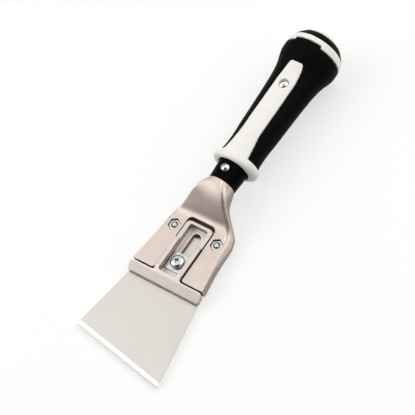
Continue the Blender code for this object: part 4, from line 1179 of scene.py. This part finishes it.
def add_dome(tree, radius, high, way, base):
    """Nodes of one dome: a curve along Z from its rim at the base, whose scale follows a quarter circle."""
    line = add_node(tree, 'GeometryNodeCurvePrimitiveLine', {"End": (0, 0, 1)})
    points = add_node(tree, 'GeometryNodeResampleCurve', {"Count": DOME_POINTS}, {"Curve": line.outputs[0]})
    share = add_node(tree, 'GeometryNodeSplineParameter').outputs["Factor"]
    angle = add_node(tree, 'ShaderNodeMath', {"operation": 'MULTIPLY', 1: DOME_TURN}, {0: share})
    lift, width = (
        add_node(tree, 'ShaderNodeMath', {"operation": 'MULTIPLY'}, {
            0: add_node(tree, 'ShaderNodeMath', {"operation": wave}, {0: angle.outputs[0]}).outputs[0],
            1: size}).outputs[0]
        for wave, size in (('SINE', high), ('COSINE', radius)))
    rise = add_node(tree, 'ShaderNodeMath', {"operation": 'MULTIPLY_ADD', 1: way, 2: 0.0}, {0: lift, **base})
    place = add_node(tree, 'ShaderNodeCombineXYZ', None, {"Z": rise.outputs[0]})
    raised = add_node(tree, 'GeometryNodeSetPosition', None,
                      {"Geometry": points.outputs[0], "Position": place.outputs[0]})
    section = add_node(tree, 'GeometryNodeCurvePrimitiveCircle', {"Resolution": DOME_SIDES, "Radius": 1.0})
    return add_node(tree, 'GeometryNodeCurveToMesh', {"Fill Caps": True}, {
        "Curve": raised.outputs[0], "Profile Curve": section.outputs[0], "Scale": width}).outputs[0]


def domed_tree():
    tree, given, sockets = open_tree("domed fixing", (
        *((size, 'NodeSocketFloat') for size in DOMED_SIZES), ("Seat", 'NodeSocketVector')))
    length = given["Shank length"]
    tail_z, middle = (
        add_node(tree, 'ShaderNodeMath', {"operation": 'MULTIPLY', 1: share}, {0: length}).outputs[0]
        for share in (-1.0, -0.5))
    long = add_node(tree, 'ShaderNodeMath', {"operation": 'ADD', 1: SHANK_OVERLAP}, {0: length})
    bar = add_node(tree, 'GeometryNodeMeshCylinder', {"Vertices": DOME_SIDES},
                   {"Radius": given["Shank radius"], "Depth": long.outputs[0]})
    lowered = add_node(tree, 'ShaderNodeCombineXYZ', None, {"Z": middle})
    shank = add_node(tree, 'GeometryNodeTransform', None,
                     {"Geometry": bar.outputs[0], "Translation": lowered.outputs[0]})
    whole = add_node(tree, 'GeometryNodeMeshBoolean', {"operation": 'UNION'})
    for body in (add_dome(tree, given["Head radius"], given["Head height"], 1.0, {}), shank.outputs[0],
                 add_dome(tree, given["Tail radius"], given["Tail height"], -1.0, {2: tail_z})):
        tree.links.new(body, whole.inputs["Mesh 2"])
    seated = add_node(tree, 'GeometryNodeTransform', None,
                      {"Geometry": whole.outputs[0], "Translation": given["Seat"]})
    close_tree(tree, seated.outputs[0], given["Plating"])
    return tree, sockets


DOMED_TREE, DOMED_SOCKETS = domed_tree()
print("tree:", DOMED_TREE.name, "with", len(DOMED_TREE.nodes), "nodes")

# %% Rivet, pin and the rivet's washer
rivet_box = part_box("neck_rivet")
pin_low, pin_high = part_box("handle_pin")
burr_low, burr_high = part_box("rivet_washer")
RIVET_HEAD_HIGH, RIVET_SHANK_R, RIVET_TAIL_R, RIVET_TAIL_HIGH = 2.0 * MM, 1.6 * MM, 2.4 * MM, 1.2 * MM
PIN_HEAD_HIGH, PIN_SHANK_R, PIN_END_HIGH = 1.7 * MM, 1.5 * MM, 0.3 * MM
PIN_Y = (pin_low.y + pin_high.y) / 2
BURR_NIP = 0.12 * MM


def make_domed(name, node, box, y, head_high, shank_r, tail_r, tail_high):
    low, high = box
    seat = Vector((0, y, high.z - head_high))
    sizes = ((high.x - low.x) / 2, head_high, shank_r, seat.z - low.z - tail_high, tail_r, tail_high)
    fixing = grow(name, DOMED_TREE, DOMED_SOCKETS,
                  {**dict(zip(DOMED_SIZES, sizes)), "Seat": seat, "Plating": NICKEL})
    shade(fixing, radians(35))
    dress(fixing, NICKEL, "tool", "nickel", node)


def make_burr():
    outer, inner, low, high = (burr_high.x - burr_low.x) / 2, RIVET_HOLE_R, burr_low.z, burr_high.z
    burr = turned("rivet_burr", [
        (inner, low), (outer - BURR_NIP, low), (outer, low + BURR_NIP), (outer, high - BURR_NIP),
        (outer - BURR_NIP, high), (inner, high)], Vector((0, RIVET_Y, 0)), looped=True)
    shade(burr, radians(30))
    dress(burr, NICKEL, "tool", "nickel", "rivet_washer")


make_domed("domed_rivet", "neck_rivet", rivet_box, RIVET_Y, RIVET_HEAD_HIGH, RIVET_SHANK_R, RIVET_TAIL_R,
           RIVET_TAIL_HIGH)
make_domed("domed_pin", "handle_pin", (pin_low, pin_high), PIN_Y, PIN_HEAD_HIGH, PIN_SHANK_R, PIN_SHANK_R,
           PIN_END_HIGH)
make_burr()

# %% [markdown]
# ## The neck sleeve
#
# A black nylon sleeve covers the joint between the head and the handle. It tapers slightly, has a
# rounded lower lip and two flat seats for the rivet. It is turned as one looped skin, outside and bore
# together, and then cut.

# %% Sleeve
SLEEVE_LOW_R, SLEEVE_TOP_R, SLEEVE_TAPER_Y = 9.9 * MM, 10.75 * MM, 17.15 * MM
SLEEVE_BORE_R, SLEEVE_LIP = 6.3 * MM, 0.5 * MM
LIP_STEPS, TAPER_STEPS = 5, 16
RIVET_SEAT, RIVET_SEAT_R = 9.9 * MM, 3.6 * MM


def make_sleeve():
    low, high = sleeve_low.y, sleeve_high.y
    lip = [(SLEEVE_LOW_R - SLEEVE_LIP * (1 - sin(a)), low + SLEEVE_LIP * (1 - cos(a)))
           for a in (pi / 2 * step / LIP_STEPS for step in range(LIP_STEPS + 1))]
    start = Vector((SLEEVE_LOW_R, low + SLEEVE_LIP))
    end = Vector((SLEEVE_TOP_R, SLEEVE_TAPER_Y))
    wall = [tuple(start.lerp(end, step / TAPER_STEPS)) for step in range(1, TAPER_STEPS + 1)]
    profile = [(SLEEVE_BORE_R, low), *lip, *wall, (SLEEVE_TOP_R, high), (SLEEVE_BORE_R, high)]
    sleeve = turned("neck_tube", profile, AXIS, 'Y', 96, looped=True)
    carve(sleeve, cut=[
        drill("rivet_way", RIVET_HOLE_R, 0, RIVET_Y),
        drill("back_seat", RIVET_SEAT_R, 0, RIVET_Y, high_z=AXIS.z - RIVET_SEAT),
        drill("front_seat", RIVET_SEAT_R, 0, RIVET_Y, low_z=AXIS.z + RIVET_SEAT)])
    shade(sleeve, radians(30))
    dress(sleeve, NYLON, "tool", "black_nylon", "neck_sleeve")


make_sleeve()

# %% [markdown]
# ## The handle's form
#
# Core, grip and end cap share one outer form: ovals whose half width, front depth and back depth change
# along the axis, from the collar past a slim waist to the knob at the butt. The form is a set of curves,
# so each piece can ask for a ring at any place, drawn in by a wall where it lies under another piece.

# %% Rings of the handle
OVAL_STEPS = 128
HANDLE_FORM = (
    (17.55, 15.2, 13.2, 13.7), (22.85, 14.6, 12.7, 13.2), (27.15, 13.8, 12.3, 12.8),
    (33.15, 13.6, 12.1, 12.7), (47.15, 14.4, 12.0, 12.9), (70.55, 15.5, 12.0, 13.4),
    (85.95, 16.5, 12.2, 14.2), (94.25, 17.5, 13.0, 15.4), (99.15, 18.6, 14.2, 16.6),
    (103.65, 20.0, 16.2, 18.3), (108.15, 20.8, 17.9, 19.4), (112.75, 20.7, 18.6, 19.5),
    (115.65, 20.2, 18.86, 19.4), (118.55, 19.3, 18.6, 18.9), (121.15, 17.7, 17.3, 17.5),
    (124.15, 15.1, 14.9, 15.0), (127.2, 11.3, 11.3, 11.3))
COLLAR_FORM = (
    (16.15, 12.3, 11.9, 11.9), (16.45, 14.5, 12.6, 12.8), (17.35, 16.3, 13.2, 13.6),
    (18.95, 17.1, 13.6, 14.2), (20.75, 16.9, 13.5, 14.1), (22.05, 16.0, 13.1, 13.6),
    (22.55, 15.2, 12.9, 13.3))
HANDLE_CURVES, COLLAR_CURVES = ([column_curve(form, column) for column in (1, 2, 3)]
                                for form in (HANDLE_FORM, COLLAR_FORM))


def oval_ring(y, curves, inset=0.0):
    """Ring at y with its own depth in front of and behind the axis, drawn in by an inset."""
    half_width, front, back = (curve(y / MM) * MM - inset for curve in curves)
    points = []
    for step in range(OVAL_STEPS):
        angle = 2 * pi * step / OVAL_STEPS
        depth = front if sin(angle) > 0 else back
        points.append(Vector((half_width * cos(angle), y, AXIS.z + depth * sin(angle))))
    return points


def handle_rings(low_y, high_y, step, inset=0.0):
    return [oval_ring(y, HANDLE_CURVES, inset) for y in spread(low_y, high_y, step)]


def handle_body(name, low_y, high_y, inset=0.0):
    return skin(name, handle_rings(low_y, high_y, 1.0 * MM, inset))


print("half width at the waist:", round(HANDLE_CURVES[0](33.0), 1), "mm")

# %% [markdown]
# ## The white core
#
# The core runs through the whole handle and shows in three places: the rounded collar at the neck, the
# strip down the front, and the ring at the knob. Inside it is bored for the shank. The strip is cut from
# the handle's own form, so its face follows the grip's, and a hair of clearance is left for the seam
# between the two.

# %% Core with collar, strip and ring
grip_low, grip_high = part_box("grip")
GRIP_WALL = 2.6 * MM
COLLAR_Y, COLLAR_TOP_Y = COLLAR_FORM[0][0] * MM, COLLAR_FORM[-1][0] * MM
RING_Y, RING_NOTCH_Y, RING_TOP_Y = 112.75 * MM, 114.6 * MM, 118.55 * MM
NOTCH_HALF, NOTCH_RISE = 9.8 * MM, 15.0 * MM
STRIP_LOW_Y, STRIP_TOP_Y, STRIP_CORNER_R = COLLAR_Y + 3 * MM, 98.7 * MM, 1.5 * MM
STRIP_HALF, STRIP_TOP_HALF, STRIP_FLARE_HALF = 7.0 * MM, 4.7 * MM, 10.2 * MM
PIN_SEAT, PIN_SEAT_R, SHANK_WAY_R = 10.6 * MM, 3.5 * MM, 5.3 * MM
HANDLE_VOXEL = 0.5 * MM
strip_half = curve_through([
    (STRIP_LOW_Y, STRIP_FLARE_HALF), (COLLAR_Y + 6.5 * MM, 0.92 * STRIP_FLARE_HALF),
    (COLLAR_Y + 13 * MM, 1.2 * STRIP_HALF), (COLLAR_Y + 27 * MM, STRIP_HALF), (PIN_Y, STRIP_HALF),
    (STRIP_TOP_Y - 4 * MM, 0.82 * STRIP_HALF), (STRIP_TOP_Y, STRIP_TOP_HALF)])


def strip_outline(extra):
    """Front strip in plan, wider where it runs into the collar, with some extra all round."""
    right = [(strip_half(y) + extra, y, 0) for y in spread(STRIP_LOW_Y, STRIP_TOP_Y, 2 * MM)]
    right[-1] = (STRIP_TOP_HALF + extra, STRIP_TOP_Y + extra, STRIP_CORNER_R)
    return rounded(both_sides(right))


def make_core():
    core = skin("white_core", [
        *(oval_ring(y, COLLAR_CURVES) for y in spread(COLLAR_Y, COLLAR_TOP_Y, 0.3 * MM)),
        *handle_rings(COLLAR_TOP_Y, RING_Y, 2 * MM, GRIP_WALL), *handle_rings(RING_Y, RING_TOP_Y, 0.6 * MM)])
    strip = plate("strip", strip_outline(0.0), AXIS.z, FAR)
    carve(strip, kept=[handle_body("strip_form", HANDLE_FORM[0][0] * MM, RING_Y)])
    carve(core, joined=[strip], cut=[
        axle("sleeve_seat", SLEEVE_TOP_R + GAP, -FAR, sleeve_high.y + GAP, 96),
        axle("stub_seat", STUB_R + GAP, -FAR, stub_end_y + 2 * GAP),
        axle("shank_way", SHANK_WAY_R, -FAR, 3 * FAR),
        block("notch", (-NOTCH_HALF, RING_Y - MM, AXIS.z + NOTCH_RISE), (NOTCH_HALF, RING_NOTCH_Y, FAR)),
        drill("pin_way", PIN_SHANK_R + GAP, 0, PIN_Y, low_z=pin_low.z - GAP),
        drill("pin_seat", PIN_SEAT_R, 0, PIN_Y, low_z=AXIS.z + PIN_SEAT)])
    soften(core, HANDLE_VOXEL, 3)
    dress(core, WHITE_ABS, "tool", "white_plastic", "handle_core")


make_core()

# %% [markdown]
# ## The soft grip
#
# The black grip is moulded round the core, with a slot that the strip fills and a tab that keys into the
# ring. It is the handle's form less a smaller copy of itself, the strip with a hair of clearance, and
# the three blocks that leave the tab. Softening gives the mouth of the slot the small rounded seam that
# two-shot mouldings have.

# %% Grip
HOLLOW_PAST = 2 * MM


def make_grip():
    end, trim = grip_high.y, RING_Y - GAP
    tab_half, tab_z = NOTCH_HALF - GAP, AXIS.z + NOTCH_RISE + GAP
    grip = handle_body("soft_grip", grip_low.y, end)
    carve(grip, cut=[
        handle_body("hollow", grip_low.y - HOLLOW_PAST, end + HOLLOW_PAST, GRIP_WALL - GAP),
        plate("strip_slot", strip_outline(GAP), AXIS.z, FAR),
        block("trim_left", (-FAR, trim, -FAR), (-tab_half, 3 * FAR, FAR)),
        block("trim_right", (tab_half, trim, -FAR), (FAR, 3 * FAR, FAR)),
        block("trim_back", (-FAR, trim, -FAR), (FAR, 3 * FAR, tab_z))])
    soften(grip, HANDLE_VOXEL, 3)
    dress(grip, SOFT_RUBBER, "tool", "soft_black", "grip")


make_grip()

# %% [markdown]
# ## The butt
#
# A black band closes the handle and holds a nickel cap that a hammer may strike. The band follows the
# handle's form outside and the cap's skirt inside, so it is one looped skin. The cap is turned: a low
# dome, a small rounded rim and the skirt below it.

# %% End cap and strike cap
cap_low, cap_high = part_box("end_cap")
strike_low, strike_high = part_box("strike_cap")
seat_low, seat_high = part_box("tang_washer")
STRIKE_SKIRT_R, STRIKE_BORE_R, STRIKE_INSIDE_Y = 9.0 * MM, 5.3 * MM, 126.4 * MM
STRIKE_RIM_Y, STRIKE_RIM_R = 123.7 * MM, 14.9 * MM
STRIKE_FORM = ((124.0, 15.2), (124.7, 14.55), (125.7, 13.3), (127.2, 11.2), (128.6, 9.05), (129.9, 6.7),
               (130.9, 4.0))
POLE_R, POLE_DROP, DOME_STEP = 0.6, 0.02, 0.4
CAP_INSET, CAP_STEP, CAP_NIP, SKIRT_NIP = 0.15 * MM, 0.4 * MM, 0.4 * MM, 0.3 * MM


def make_end_cap():
    low, high, seat_y = cap_low.y, cap_high.y, seat_high.y + GAP
    seat_r, way_r = (seat_high.x - seat_low.x) / 2 + GAP, STRIKE_SKIRT_R + GAP
    bore = [(way_r + GAP, high), (way_r, high - CAP_NIP), (way_r, seat_y), (seat_r, seat_y), (seat_r, low)]
    inside = [circle(radius, AXIS + Vector((0, y, 0)), 'Y', OVAL_STEPS) for radius, y in bore]
    cap = skin("butt_band", handle_rings(low, high, CAP_STEP, CAP_INSET) + inside, looped=True)
    shade(cap, radians(40))
    dress(cap, SOFT_RUBBER, "tool", "soft_black", "end_cap")


def make_strike_cap():
    top_y, low_y = strike_high.y / MM, strike_low.y
    height = curve_through([(0.0, top_y), (POLE_R, top_y - POLE_DROP)]
                           + [(radius, y) for y, radius in reversed(STRIKE_FORM)])
    dome = [(radius * MM, height(radius) * MM) for radius in spread(STRIKE_FORM[0][1], 0.0, -DOME_STEP)]
    strike = turned("hammer_cap", [
        (0, STRIKE_INSIDE_Y), (STRIKE_BORE_R, STRIKE_INSIDE_Y), (STRIKE_BORE_R, low_y),
        (STRIKE_SKIRT_R - SKIRT_NIP, low_y), (STRIKE_SKIRT_R, low_y + SKIRT_NIP),
        (STRIKE_SKIRT_R, STRIKE_RIM_Y), (STRIKE_RIM_R, STRIKE_RIM_Y), *dome], AXIS, 'Y', 96)
    shade(strike, radians(40))
    dress(strike, NICKEL, "tool", "nickel", "strike_cap")


make_end_cap()
make_strike_cap()

# %% [markdown]
# ## Hidden steel
#
# The shank and the washer inside the handle can't be seen, and their plain shapes are right as they are.
# They stay in the model as the frame made them, and only get the finish of what they are made of.

# %% Shank and tang washer
for name, material in (("shank", PLATE_STEEL), ("tang_washer", ZINC)):
    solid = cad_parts[name]
    solid.data.materials.clear()
    solid.data.materials.append(material)
    print(name, "stays, in", material.name)
